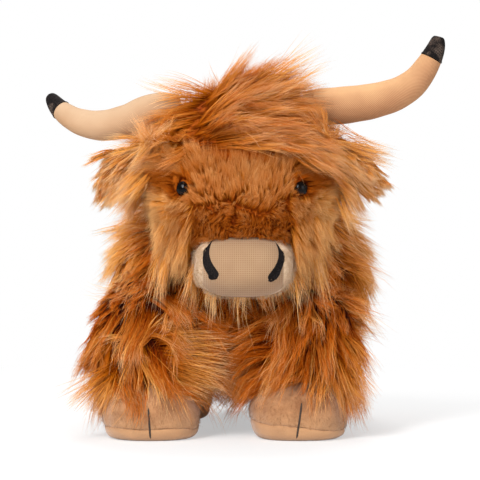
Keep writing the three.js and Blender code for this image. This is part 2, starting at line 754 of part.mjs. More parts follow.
const upper = geometryOf(hoofUpper());
const sole = geometryOf(hoofSole());
const stitch = geometryOf(toeStitch());
const legs = [
  { end: 'front', legY: bodyFront + frontLegInset, stance: frontStance, shift: frontStanceShift },
  { end: 'rear', legY: bodyRear - rearLegInset, stance: rearStance, shift: rearStanceShift },
];
for (const { end, legY, stance, shift } of legs) {
  for (const { side, sign } of sides) {
    const hoofX = shift + sign * stance / 2;
    const { skin, filling } = buildLeg(hoofX + sign * legOutset, legY);
    addPiece(cow, `${end}_${side}_leg_skin`, skin, hair);
    addPiece(cow, `${end}_${side}_leg_filling`, filling, fibre);
    const foot = new THREE.Group();
    foot.position.set(hoofX, legY - hoofForward, 0);
    addPiece(foot, `${end}_${side}_hoof`, upper, hoofCloth);
    addPiece(foot, `${end}_${side}_sole`, sole, hoofCloth);
    addPiece(foot, `${end}_${side}_toe_stitch`, stitch, thread);
    cow.add(foot);
  }
}

addTurningPieces(tailHinge, [['tail', tail, hair], ['tail_tuft', tuft, hair]]);

// The origin is the middle of the footprint, on the ground
const middle = new THREE.Box3().setFromObject(cow).getCenter(new THREE.Vector3());
cow.position.set(-middle.x, -middle.y, 0);

export default cow;
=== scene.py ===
"""A long-haired plush cow that stands on four stuffed legs. Metres, +Z up, facing -Y.

The cow's own right side is at -X, on the left of the picture. Its pile is real geometry: every strand
is a thin closed blade, rooted in a smooth backing that stands for the sewn skin.
"""
import math
from dataclasses import dataclass
from types import SimpleNamespace

import bmesh
import bpy
import numpy as np
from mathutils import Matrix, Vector
from mathutils.bvhtree import BVHTree
from mathutils.kdtree import KDTree


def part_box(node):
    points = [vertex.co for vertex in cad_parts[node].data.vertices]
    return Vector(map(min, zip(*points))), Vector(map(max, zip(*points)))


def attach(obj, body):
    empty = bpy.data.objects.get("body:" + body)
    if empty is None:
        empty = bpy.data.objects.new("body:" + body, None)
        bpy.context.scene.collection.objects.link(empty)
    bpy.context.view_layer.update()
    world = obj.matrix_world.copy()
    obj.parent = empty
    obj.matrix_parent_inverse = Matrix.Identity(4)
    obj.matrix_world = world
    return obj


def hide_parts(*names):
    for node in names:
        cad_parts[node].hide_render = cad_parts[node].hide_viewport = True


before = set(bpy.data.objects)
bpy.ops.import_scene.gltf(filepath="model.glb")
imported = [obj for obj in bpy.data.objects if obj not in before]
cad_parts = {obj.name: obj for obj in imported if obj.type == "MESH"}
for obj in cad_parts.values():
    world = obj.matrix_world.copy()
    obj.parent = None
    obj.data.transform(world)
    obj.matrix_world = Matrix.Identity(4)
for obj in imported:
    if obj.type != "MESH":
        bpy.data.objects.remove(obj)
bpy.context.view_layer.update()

MM = 0.001
UNIT = 1.0  # a metre
SIDES = {"right": -1, "left": 1}
ENDS = ("front", "rear")
LEGS = tuple(f"{end}_{side}" for end in ENDS for side in SIDES)
BAKE_LAYER = "OFBake"  # the texture layer that holds each strand's tone and its run from root to tip
HORN_LAYER = "horn_cloth"  # the texture layer that runs round and along a horn


# Places on the cow, from its solids

def middle(node):
    low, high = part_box(node)
    return (low + high) / 2


EYES = {side: middle(f"{side}_eye") for side in SIDES}
HEAD_X = (EYES["right"].x + EYES["left"].x) / 2
EYE_Z = (EYES["right"].z + EYES["left"].z) / 2
MUZZLE_SHIFT = 1.5 * MM  # towards the cow's left
MUZZLE = middle("front_muzzle_panel") + Vector((MUZZLE_SHIFT, 0, 0))
BODY = middle("body_skin")
HORN_Y = middle("left_horn").y
CROWN_DEPTH = 13 * MM  # of the horn roots under the top of the head
CROWN = Vector((HEAD_X, HORN_Y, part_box("head_skin")[1].z - CROWN_DEPTH))


# Camera, at the photograph's place: level with the muzzle, straight ahead

CAMERA_DISTANCE = 1500 * MM
CAMERA_AIM = Vector((-2.5 * MM, HORN_Y + 8 * MM, 151 * MM))
VIEW_WIDTH = 372 * MM  # what the picture's width holds at the aim
SENSOR_WIDTH = 36


def add_object(name, data):
    made = bpy.data.objects.new(name, data)
    bpy.context.scene.collection.objects.link(made)
    return made


def aim(thing, place, target):
    thing.location = place
    thing.rotation_euler = (Vector(target) - Vector(place)).to_track_quat("-Z", "Y").to_euler()


def set_camera():
    lens = bpy.data.cameras.new("camera")
    lens.sensor_width = SENSOR_WIDTH
    lens.lens = SENSOR_WIDTH * CAMERA_DISTANCE / VIEW_WIDTH
    camera = add_object("camera", lens)
    aim(camera, CAMERA_AIM - Vector((0, CAMERA_DISTANCE, 0)), CAMERA_AIM)
    bpy.context.scene.camera = camera


# Materials

def paint(red, green, blue):
    """A colour given as it shows on a screen, in 0 to 255"""
    def linear(value):
        share = value / 255
        return share / 12.92 if share <= 0.04045 else ((share + 0.055) / 1.055) ** 2.4
    return (linear(red), linear(green), linear(blue), 1)


class Value:
    """A node's output in a material, so that shader maths reads as sums"""

    def __init__(self, finish, socket):
        self.finish = finish
        self.socket = socket

    def _maths(self, operation, *values):
        return self.finish.node("Math", {"operation": operation}, dict(enumerate(values)))

    def __add__(self, other):
        return self._maths("ADD", self, other)

    def __sub__(self, other):
        return self._maths("SUBTRACT", self, other)

    def __rsub__(self, other):
        return self._maths("SUBTRACT", other, self)

    def __mul__(self, other):
        return self._maths("MULTIPLY", self, other)

    def wave(self):
        return self._maths("SINE", self)

    def at_most(self, other):
        return self._maths("MINIMUM", self, other)

    def over(self, low, high):
        """0 at low, 1 at high, and straight between"""
        return self.finish.node("MapRange", {}, {"Value": self, "From Min": low, "From Max": high})


MIX_INPUTS = (0, 6, 7)  # a Mix node's sockets for a share and two colours
MIX_OUTPUT = 2


class Finish:
    """One material: its Principled shader and the nodes that feed it"""

    def __init__(self, name, **fixed):
        self.material = bpy.data.materials.new(name)
        self.material.use_nodes = True
        self.tree = self.material.node_tree
        self.shader = self.tree.nodes["Principled BSDF"]
        for socket, value in fixed.items():
            self.shader.inputs[socket.replace("_", " ").title().replace("Ior", "IOR")].default_value = value

    def _set(self, socket, value):
        if isinstance(value, Value):
            self.tree.links.new(value.socket, socket)
        else:
            socket.default_value = value

    def node(self, kind, settings, inputs, output=0):
        """Adds a node, sets it, feeds its sockets with numbers, colours or values, and gives an output"""
        made = self.tree.nodes.new("ShaderNode" + kind)
        for name, value in settings.items():
            setattr(made, name, value)
        for name, value in inputs.items():
            self._set(made.inputs[name], value)
        return Value(self, made.outputs[output])

    def feed(self, socket, value):
        self.tree.links.new(value.socket, self.shader.inputs[socket])

    def mix(self, share, low, high):
        """Mixes two colours"""
        made = self.tree.nodes.new("ShaderNodeMix")
        made.data_type = "RGBA"
        for index, value in zip(MIX_INPUTS, (share, low, high)):
            self._set(made.inputs[index], value)
        return Value(self, made.outputs[MIX_OUTPUT])

    def ramp(self, share, stops):
        """A run of colours, each given after its place in it"""
        made = self.node("ValToRGB", {}, {"Fac": share})
        elements = made.socket.node.color_ramp.elements
        for index, (place, *colour) in enumerate(stops):
            stop = elements[index] if index < 2 else elements.new(place)
            stop.position = place
            stop.color = paint(*colour)
        return made

    def place(self):
        return self.node("TexCoord", {}, {}, "Object")

    def along(self, vector, axis):
        return self.node("SeparateXYZ", {}, {"Vector": vector}, axis)

    def laid_out(self, layer):
        """The two coordinates of a texture layer"""
        where = self.node("UVMap", {"uv_map": layer}, {})
        return self.along(where, "X"), self.along(where, "Y")

    def noise(self, scale, detail):
        return self.node("TexNoise", {}, {"Vector": self.place(), "Scale": scale, "Detail": detail})

    def bump(self, height, strength, distance):
        inputs = {"Height": height, "Strength": strength, "Distance": distance}
        self.feed("Normal", self.node("Bump", {}, inputs))


def pile_finish(name, dark, light):
    """Silky pile: dark at the root and pale at the tip, partly as painted shade in the pile's depths and
    painted light shining through its tips, in two tones that the strand's own tone mixes
    """
    finish = Finish(name, roughness=0.6, specular_ior_level=0.04)
    tone, run = finish.laid_out(BAKE_LAYER)
    finish.feed("Base Color", finish.mix(tone, finish.ramp(run, dark), finish.ramp(run, light)))
    return finish.material


def mottled_finish(name, grain, turn, dark, light, bump=None, **fixed):
    """Cloth or plastic in two colours, mixed by a grain that may also be embossed"""
    finish = Finish(name, **fixed)
    nap = finish.noise(*grain)
    finish.feed("Base Color", finish.mix(nap.over(*turn), paint(*dark), paint(*light)))
    if bump:
        finish.bump(nap, *bump)
    return finish


def undercoat_finish(name, dark, light):
    """The backing cloth deep in the pile, coloured dark as painted shade"""
    finish = mottled_finish(name, (90, 4), (0.35, 0.7), dark, light, roughness=0.95, specular_ior_level=0.1)
    finish.bump(finish.noise(900, 2), 0.6, 0.6 * MM)
    return finish.material


KNIT_ROWS = 78  # of stitches along a horn
RIB_TURNS = 44  # how often the ribs' slant carries them round it
STITCH_TURNS = 90


def knit_finish(name, pale, dark, rib_share):
    """Fine knitted cloth of the horns: slanting ribs that show most underneath, with painted shade in their
    grooves and on the horn's underside, softly faded
    """
    finish = Finish(name, roughness=0.82, specular_ior_level=0.15)
    turn, run = finish.laid_out(HORN_LAYER)
    ribs = ((run * KNIT_ROWS + turn * RIB_TURNS) * math.tau).wave()
    stitches = ((run * KNIT_ROWS - turn * STITCH_TURNS) * math.tau).wave()
    cloth = ribs * 0.34 + stitches * 0.12 + 0.5
    # painted shade: the cloth darkens where it faces down
    facing = finish.node("NewGeometry", {}, {}, "Normal")
    under = 1 - finish.along(facing, "Z").over(-0.35, 0.65)
    worn = finish.noise(38, 4).over(0.3, 0.72)
    base = finish.mix(worn * 0.5 + under * 0.5, paint(*pale), paint(*dark))
    # painted shade in the ribs' grooves, strongest underneath
    groove_shade = (1 - cloth.over(0.2, 0.8)) * (under * 0.6 + 0.2) * rib_share
    finish.feed("Base Color", finish.mix(groove_shade, base, paint(140, 92, 58)))
    finish.bump(cloth, 0.35, 0.35 * MM)
    return finish.material


MESH_ROWS = 13  # of a horn tip's coarser knit
MESH_TURNS = 30


def black_cloth_finish(name, speckle):
    """Black knitted cloth, through which a little of what lies beneath may show"""
    finish = Finish(name, roughness=0.9, specular_ior_level=0.15)
    nap = finish.noise(1400, 3)
    cloth = finish.mix(nap.over(0.45, 0.75), paint(12, 9, 9), paint(44, 36, 34))
    turn, run = finish.laid_out(HORN_LAYER)
    rising = ((run * MESH_ROWS + turn * MESH_TURNS) * math.tau).wave()
    falling = ((run * MESH_ROWS - turn * MESH_TURNS) * math.tau).wave()
    thin = finish.noise(110, 2).over(0.46, 0.6)
    shown = (rising + falling).over(0.7, 1.9) * thin * speckle
    finish.feed("Base Color", finish.mix(shown, cloth, paint(206, 176, 156)))
    finish.bump(nap, 0.7, 0.5 * MM)
    return finish.material


def hoof_finish():
    """Velvety short pile, paler along its worn rims"""
    finish = Finish("hoof_pile", roughness=0.88, specular_ior_level=0.2, sheen_weight=0.35,
                    sheen_roughness=0.5)
    brushed = finish.noise(55, 5)
    nap = finish.noise(1500, 2)
    rim = 1 - finish.along(finish.place(), "Z").over(6 * MM, 24 * MM)
    base = finish.mix(brushed.over(0.38, 0.6), paint(130, 80, 44), paint(173, 121, 79))
    worn = finish.mix(rim * 0.75, base, paint(184, 140, 100))
    finish.feed("Base Color", finish.mix(nap.over(0.3, 0.7) * 0.2, worn, paint(214, 176, 136)))
    finish.bump(nap + brushed, 0.35, 0.5 * MM)
    return finish.material


THREAD_GAP = 1.55 * MM


def weave_finish():
    """Woven panel on the muzzle's front: a fine grid of threads"""
    finish = Finish("muzzle_weave", roughness=0.85, specular_ior_level=0.2, sheen_weight=0.15)
    place = finish.place()
    warp, weft = [(finish.along(place, axis) * (math.tau / THREAD_GAP)).wave() for axis in ("X", "Z")]
    grid = warp * 0.25 + weft * 0.18 + 0.5
    base = finish.mix(finish.noise(45, 3).over(0.3, 0.7), paint(150, 119, 90), paint(162, 132, 102))
    finish.feed("Base Color", finish.mix(grid.over(0.1, 0.45), paint(134, 96, 64), base))
    finish.bump(grid, 0.5, 0.4 * MM)
    return finish.material


def thread_finish():
    """Twisted dark sewing thread"""
    finish = Finish("dark_thread", roughness=0.75)
    inputs = {"Vector": finish.place(), "Scale": 260.0, "Distortion": 1.5}
    twist = finish.node("TexWave", {"bands_direction": "Z"}, inputs)
    finish.feed("Base Color", finish.mix(twist, paint(34, 24, 18), paint(72, 56, 46)))
    finish.bump(twist, 0.6, 0.3 * MM)
    return finish.material


def washer_finish():
    """Pale moulded plastic, unevenly dull"""
    grain = (300, 2)
    finish = mottled_finish("washer_plastic", grain, (0.3, 0.7), (216, 214, 206), (236, 234, 228),
                            specular_ior_level=0.4)
    finish.feed("Roughness", finish.noise(*grain).over(0.2, 1.2))
    return finish.material


def make_finishes():
    """Every material, by its use. A pile's colours run from root to tip, in a dark and in a light tone"""
    eye = mottled_finish("eye_plastic", (160, 2), (0.4, 0.8), (2, 1, 1), (12, 6, 4),
                         roughness=0.05, specular_ior_level=0.14)
    fleece = mottled_finish("muzzle_pile", (700, 4), (0.3, 0.7), (186, 152, 118), (212, 184, 152),
                            (0.6, 0.8 * MM), roughness=0.92, specular_ior_level=0.15, sheen_weight=0.3)
    stuffing = mottled_finish("filling", (420, 6), (0.3, 0.7), (226, 222, 212), (250, 248, 242),
                              (0.8, 1 * MM), roughness=1.0, specular_ior_level=0.1)
    return SimpleNamespace(
        # The horns' two tones are partly the knit's own and partly painted light: the cow's right horn,
        # towards the key lamp, is paler, and its left one darker
        horns={"right": knit_finish("pale_knit_painted_light", (194, 163, 132), (174, 136, 102), 0.3),
               "left": knit_finish("brown_knit_painted_shade", (212, 166, 120), (172, 124, 90), 0.9)},
        nostril=black_cloth_finish("black_cloth", 0),
        horn_tip=black_cloth_finish("tip_knit", 0.6),
        hoof=hoof_finish(),
        weave=weave_finish(),
        fleece=fleece.material,
        eye=eye.material,
        thread=thread_finish(),
        stuffing=stuffing.material,
        washer=washer_finish(),
        # Each pile's dark roots are partly painted shade deep in the pile, and its pale tips partly painted
        # light shining through them
        hair=pile_finish(
            "long_pile",
            ((0, 58, 8, 0), (0.2, 136, 48, 0), (0.65, 196, 92, 2), (1, 218, 122, 26)),
            ((0, 150, 58, 0), (0.2, 216, 120, 12), (0.65, 250, 182, 92), (1, 255, 226, 184))),
        face_hair=pile_finish(
            "face_pile",
            ((0, 120, 36, 0), (0.4, 152, 66, 0), (1, 186, 95, 8)),
            ((0, 176, 80, 2), (0.4, 238, 152, 52), (1, 255, 210, 146))),
        muzzle_nap=pile_finish(
            "muzzle_nap",
            ((0, 176, 140, 106), (1, 206, 174, 140)),
            ((0, 196, 164, 130), (1, 232, 206, 176))),
        hoof_nap=pile_finish(
            "hoof_nap",
            ((0, 110, 64, 32), (1, 152, 103, 63)),
            ((0, 156, 107, 67), (1, 201, 158, 117))),
        # The undercoats are dark as painted shade deep in the pile; the darkest is painted shade on the
        # body, neck and legs
        undercoat=undercoat_finish("undercoat", (84, 12, 2), (134, 50, 6)),
        shaded=undercoat_finish("shaded_undercoat", (22, 2, 0), (62, 14, 2)),
        face_undercoat=undercoat_finish("face_undercoat", (124, 46, 4), (160, 78, 12)),
    )


# Surfaces

def unit(vectors):
    return vectors / np.maximum(np.linalg.norm(vectors, axis=-1, keepdims=True), 1e-9)


def ease(low, high, value):
    """0 below low, 1 above high, and smooth between"""
    share = np.clip((value - low) / (high - low), 0, 1)
    return share * share * (3 - 2 * share)


class Surface:
    """A mesh's corners, triangles and smooth normals, for rooting pile in it"""

    def __init__(self, mesh):
        def read(items, name, kind):
            values = np.empty(len(items) * 3, kind)
            items.foreach_get(name, values)
            return values.reshape(-1, 3)

        mesh.calc_loop_triangles()
        self.places = read(mesh.vertices, "co", np.float32).astype(float)
        self.normals = read(mesh.vertices, "normal", np.float32).astype(float)
        self.triangles = read(mesh.loop_triangles, "vertices", np.int32)
        corners = self.places[self.triangles]
        spans = np.cross(corners[:, 1] - corners[:, 0], corners[:, 2] - corners[:, 0])
        self.areas = np.linalg.norm(spans, axis=1) / 2
        self.centres = corners.mean(axis=1)

    def scatter(self, count, rng, thickly):
        """Roots spread evenly, more of them where thickly is higher, each with its normal"""
        weights = np.cumsum(self.areas * thickly(self.centres))
        draws = (np.arange(count) + rng.random(count)) / count
        chosen = np.searchsorted(weights / weights[-1], draws).clip(0, len(weights) - 1)
        first, second = rng.random(count), rng.random(count)
        folded = first + second > 1
        first[folded], second[folded] = 1 - first[folded], 1 - second[folded]
        shares = np.stack([1 - first - second, first, second], axis=1)[:, :, None]
        corners = self.triangles[chosen]
        roots = (self.places[corners] * shares).sum(axis=1)
        return roots, unit((self.normals[corners] * shares).sum(axis=1))


def place_tree(places):
    """A search tree of places that gives their numbers"""
    tree = KDTree(len(places))
    for index, place in enumerate(places.tolist()):
        tree.insert(place, index)
    tree.balance()
    return tree


def joined_walls(objects):
    """All that pile lies against, as one search tree"""
    places, triangles = [], []
    for obj in objects:
        skin = Surface(obj.data)
        triangles += (skin.triangles + len(places)).tolist()
        places += skin.places.tolist()
    return BVHTree.FromPolygons(places, triangles)


def from_shape(name, shape):
    """Turns a shape into an object"""
    mesh = bpy.data.meshes.new(name)
    shape.to_mesh(mesh)
    shape.free()
    return add_object(name, mesh)


def closed_form(name, shape):
    """Turns a closed shape into an object, with its faces outward and smooth"""
    bmesh.ops.recalc_face_normals(shape, faces=shape.faces)
    made = from_shape(name, shape)
    made.data.shade_smooth()
    return made


def moved(obj, places):
    """Puts a mesh's corners in new places"""
    obj.data.vertices.foreach_set("co", places.astype(np.float32).ravel())
    obj.data.update()
    return obj


def settled(obj):
    """Replaces an object's mesh by what its modifiers make of it"""
    made = bpy.data.meshes.new_from_object(obj.evaluated_get(bpy.context.evaluated_depsgraph_get()))
    obj.modifiers.clear()
    obj.data = made
    return obj


def remeshed(obj, voxel, rounds, inset=0):
    """Rebuilds a solid in fine even faces, smooths its facets away, and draws it in"""
    remesh = obj.modifiers.new("remesh", "REMESH")
    remesh.mode = "VOXEL"
    remesh.voxel_size = voxel
    smooth = obj.modifiers.new("smooth", "SMOOTH")
    smooth.iterations = rounds
    smooth.factor = 0.5
    settled(obj)
    if inset:
        skin = Surface(obj.data)
        moved(obj, skin.places - skin.normals * inset)
    obj.data.shade_smooth()
    return obj


def coloured(obj, material):
    obj.data.materials.clear()
    obj.data.materials.append(material)


def finished(obj, material, body="cow", replaces=()):
    """Gives a piece its material and body"""
    coloured(obj, material)
    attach(obj, body)
    if replaces:
        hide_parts(*replaces)
    return obj


def stretched_over(name, nodes, voxel, rounds, inset, within=lambda place: True):
    """A smooth backing stretched over the corners of some nodes"""
    shape = bmesh.new()
    for node in nodes:
        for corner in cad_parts[node].data.vertices:
            if within(corner.co):
                shape.verts.new(corner.co)
    bmesh.ops.convex_hull(shape, input=shape.verts)
    bmesh.ops.delete(shape, geom=[corner for corner in shape.verts if not corner.link_faces])
    return remeshed(from_shape(name, shape), voxel, rounds, inset)


def rounded_copy(name, node, voxel, rounds):
    """A node's own shape, with its facets smoothed away"""
    return remeshed(add_object(name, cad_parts[node].data.copy()), voxel, rounds)


CROWN_RISE = 5 * MM  # of the forelock's backing above the head's
CROWN_DIP = 8 * MM  # of its lower rim under the head's backing
CROWN_BAND = (-6 * MM, 14 * MM)  # the heights, from the crown, between which the dip turns into the rise
CROWN_FLOOR = 24 * MM  # under the crown, below which it isn't lowered


def laid_on(obj, under):
    """Lowers the forelock's backing until it hugs the head's"""
    below = joined_walls([under])
    places = Surface(obj.data).places
    shares = ease(CROWN.z + CROWN_BAND[0], CROWN.z + CROWN_BAND[1], places[:, 2])
    for place, share in zip(places, shares):
        hit = below.ray_cast(Vector((place[0], place[1], CROWN.z + 100 * MM)), Vector((0, 0, -1)))[0]
        top = max(hit.z if hit else 0, CROWN.z - CROWN_FLOOR)
        place[2] = min(place[2], top + CROWN_RISE * share - CROWN_DIP * (1 - share))
    return moved(obj, places)


EDGE_STEP = 2 * MM  # between the points at which a filling's edges are tested
EDGE_SPREAD = 6 * MM  # how far round an edge the backing rises with it
EDGE_GAP = 1 * MM  # of the backing above an edge
MOST_RISE = 5 * MM


def raised_over(obj, edges):
    """Raises a backing where sharp edges would stick out of it"""
    skin, walls = Surface(obj.data), joined_walls([obj])
    tree = place_tree(skin.places)
    rise = np.zeros(len(skin.places))
    for start, end in edges:
        for share in np.arange(0, 1, EDGE_STEP / max((end - start).length, EDGE_STEP)):
            point = start.lerp(end, share)
            place, normal, _, _ = walls.find_nearest(point)
            out = normal.dot(point - place) + EDGE_GAP
            if out > 0:
                for _, index, _ in tree.find_range(place, EDGE_SPREAD):
                    rise[index] = max(rise[index], min(out, MOST_RISE))
    return moved(obj, skin.places + skin.normals * rise[:, None])


def drawn_out(obj, node, gap):
    """Moves a backing out where it would cut into the filling that it covers"""
    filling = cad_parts[node]
    moved(obj, kept_clear(Surface(obj.data).places, joined_walls([filling]), gap))
    corners = filling.data.vertices
    edges = []
    for edge in filling.data.edges:
        start, end = edge.vertices
        edges.append((corners[start].co, corners[end].co))
    return raised_over(obj, edges)


# Pile

LOCK_STEPS = 12
WAVE_TURN = 0.75  # of a radian from step to step
STAND_SPREAD = 0.08
LENGTH_SPREAD = 0.12  # of a lock's own length
ROOT_GAP = 1.2 * MM  # how far from other walls a root has to be
SECOND_LOOK = 3.5 * MM  # above the skin, where a root may be free too
STRAY_SHARE = 0.06  # of all strands leave their tuft
STRAY_REACH = 4  # times as far as the rest
STRAND_WAVE = 7  # radians that a strand's own wave turns by its tip
PINCH_PACE = 1.6  # times as fast as it runs on, a strand closes up with its tuft
BEND_SHARE = 0.3  # of a coat's unruliness bends its tufts
WAVE_SHARE = 0.6  # of a coat's frizz waves its strands
LOCK_TONES, TUFT_TONES, STRAND_TONES = 0.6, 0.7, 0.5  # of the spread of tones is between these
THINNEST, WIDTH_SPREAD = 0.7, 0.5  # of a blade's width
FLAT_SHARE = 0.5  # of a blade's width is its thickness
FLOOR_GAP = 0.8 * MM
WALL_REACH = 25 * MM  # how far off a wall is looked for
FAR_OFF = 60 * MM  # from all walls, where a point is free for certain


def kept_clear(points, walls, gap):
    """Moves points that lie in a wall, or nearer to it than gap, out along its face, and off the floor"""
    flat = points.reshape(-1, 3).copy()
    for index, point in enumerate(flat.tolist()):
        place, normal, _, distance = walls.find_nearest(point, WALL_REACH)
        if place is not None and (distance < gap or normal.dot(Vector(point) - place) < 0):
            flat[index] = place + normal * gap
    flat[:, 2] = np.maximum(flat[:, 2], FLOOR_GAP)
    return flat.reshape(points.shape)


def standing_free(points, walls, gap):
    """Which points lie outside all walls, at least gap above them"""
    free = np.ones(len(points), bool)
    for index, point in enumerate(points.tolist()):
        place, normal, _, distance = walls.find_nearest(point)
        free[index] = normal.dot(Vector(point) - place) > gap * 0.5 or distance > FAR_OFF
    return free


def nearest(centres, points):
    """For each point, the number of the nearest centre"""
    tree = place_tree(centres)
    return np.array([tree.find(point)[1] for point in points.tolist()])


def along_lines(lines, which, shares):
    """Points on the lines numbered by which, at shares of their length"""
    places = np.clip(shares, 0, 1) * (lines.shape[1] - 1)
    below = np.minimum(places.astype(int), lines.shape[1] - 2)
    part = (places - below)[..., None]
    line = which[:, None]
    return lines[line, below] * (1 - part) + lines[line, below + 1] * part


@dataclass
class Coat:
    """How the pile of one skin is set, combed and coloured. A setting may be a function of place."""
    strands: int
    lie: object  # the way the hair is combed
    length: object
    stand: object = 0.35  # from 0, combed flat, to 1, straight up from the skin
    droop: object = 8.0  # how far its own weight turns it down, for each metre
    hang: float = 0.6  # how far hair on an underside hangs straight down instead
    lock: float = 11 * MM
    tuft: float = 3.2 * MM
    gather: float = 0.45  # of a lock's width is lost by its tip
    pinch: float = 0.85  # of a tuft's width
    unruly: float = 0.25
    wavy: float = 0.0  # how far a lock swings from side to side
    frizz: float = 0.03
    width: object = 0.6 * MM
    rings: int = 5
    tone: object = 0.5
    tone_spread: float = 0.14
    uneven: float = 0.25  # of the length that the shortest strands lack
    thickly: object = 1.0
    bare: object = 0.0  # 1 where none grows
    clear: float = 0.8 * MM

    def at(self, name, points):
        value = getattr(self, name)
        return value(points) if callable(value) else np.full(len(points), float(value))


def lock_lines(coat, roots, normals, walls, rng):
    """The middle line of each lock: it leaves along the lie, stands off the skin and droops"""
    lie = coat.lie(roots)
    lie = unit(lie - normals * (lie * normals).sum(axis=1, keepdims=True))
    swerve = np.cross(normals, lie) * rng.normal(0, coat.unruly, (len(roots), 1))
    stand = np.clip(coat.at("stand", roots) + rng.normal(0, STAND_SPREAD, len(roots)), 0, 1)[:, None]
    stand = stand + (1 - stand) * coat.hang * np.clip(-normals[:, 2:], 0, 1)
    direction = unit(unit(lie + swerve) * (1 - stand) + normals * stand)
    length = coat.at("length", roots) * (1 + rng.normal(0, LENGTH_SPREAD, len(roots)))
    droop = coat.at("droop", roots)[:, None]
    step = (length / LOCK_STEPS)[:, None]
    down = np.array([0, 0, -1])
    points = [roots]
    phase = rng.random((len(roots), 1)) * math.tau
    for number in range(LOCK_STEPS):
        swing = coat.wavy * np.cos(phase + number * WAVE_TURN)
        direction = unit(direction + down * droop * step + unit(np.cross(normals, direction)) * swing)
        ahead = kept_clear(points[-1] + direction * step, walls, coat.clear)
        direction = unit(ahead - points[-1])
        points.append(ahead)
    return np.stack(points, axis=1)


def strand_lines(coat, skin, walls, rng):
    """Every strand's line: strands gather into tufts, and tufts into locks"""
    def weight(points):
        return (1 - coat.at("bare", points)) * coat.at("thickly", points)

    roots, normals = skin.scatter(coat.strands, rng, weight)
    kept = standing_free(roots + normals * ROOT_GAP, walls, ROOT_GAP)
    kept |= standing_free(roots + normals * SECOND_LOOK, walls, ROOT_GAP)
    kept &= coat.at("bare", roots) == 0
    roots, normals = roots[kept], normals[kept]
    share = len(roots) / coat.strands
    area = (skin.areas * (weight(skin.centres) > 0)).sum() * share
    lock_count = max(int(area / coat.lock ** 2), 4)
    tuft_count = max(int(area / coat.tuft ** 2), lock_count)
    tufts = rng.permutation(len(roots))[:tuft_count]
    locks = tufts[:lock_count]
    lines = lock_lines(coat, roots[locks], normals[locks], walls, rng)
    lock_of_tuft = nearest(roots[locks], roots[tufts] + rng.normal(0, coat.lock / 5, (len(tufts), 3)))
    tuft_of_strand = nearest(roots[tufts], roots)
    lock_of_strand = lock_of_tuft[tuft_of_strand]

    strand_length = 1 - coat.uneven * rng.random(len(roots)) ** 1.5
    tuft_length = 1 - coat.uneven * rng.random(len(tufts))[tuft_of_strand]
    run = np.linspace(0, 1, coat.rings + 1)[None, :] * np.ones((len(roots), 1))
    reach = run * (strand_length * tuft_length)[:, None]
    middles = along_lines(lines, lock_of_strand, reach)
    tuft_offset = (roots[tufts][tuft_of_strand] - roots[locks][lock_of_strand])[:, None]
    strand_offset = (roots - roots[tufts][tuft_of_strand])[:, None]
    length = coat.at("length", roots)[:, None, None]
    bend = rng.normal(0, coat.unruly * BEND_SHARE, (len(tufts), 1, 3))[tuft_of_strand]
    stray = rng.normal(0, coat.frizz, (len(roots), 1, 3))
    stray *= np.where(rng.random((len(roots), 1, 1)) < STRAY_SHARE, STRAY_REACH, 1)
    wave = rng.normal(0, coat.frizz * WAVE_SHARE, (len(roots), 1, 3))
    phase = rng.random((len(roots), 1)) * math.tau
    swing = (np.sin(run * STRAND_WAVE + phase) * run)[:, :, None]
    reach = reach[:, :, None]
    points = (
        middles
        + tuft_offset * (1 - coat.gather * reach)
        + strand_offset * (1 - coat.pinch * np.minimum(reach * PINCH_PACE, 1))
        + length * (bend * reach ** 1.6 + stray * reach ** 1.5 + wave * swing)
    )
    points[:, 1:] = kept_clear(points[:, 1:], walls, coat.clear * 0.5)
    tone = (
        coat.at("tone", roots)
        + rng.normal(0, coat.tone_spread * LOCK_TONES, len(locks))[lock_of_strand]
        + rng.normal(0, coat.tone_spread * TUFT_TONES, len(tufts))[tuft_of_strand]
        + rng.normal(0, coat.tone_spread * STRAND_TONES, len(roots))
    )
    across = np.cross(normals, unit(points[:, 1] - points[:, 0]))
    roll = rng.normal(0, 0.5, (len(roots), 1))
    across = unit(across * np.cos(roll) + normals * np.sin(roll))
    width = coat.at("width", roots) * (THINNEST + WIDTH_SPREAD * rng.random(len(roots)))
    return points, across, width, np.clip(tone, 0.03, 0.97)


CORNERS = 3
HALF_BLADE = 0.009  # of the texture layer's width
FOOT_RISE = 0.02  # by which a blade's foot is spread in the layer, so that it has an area there


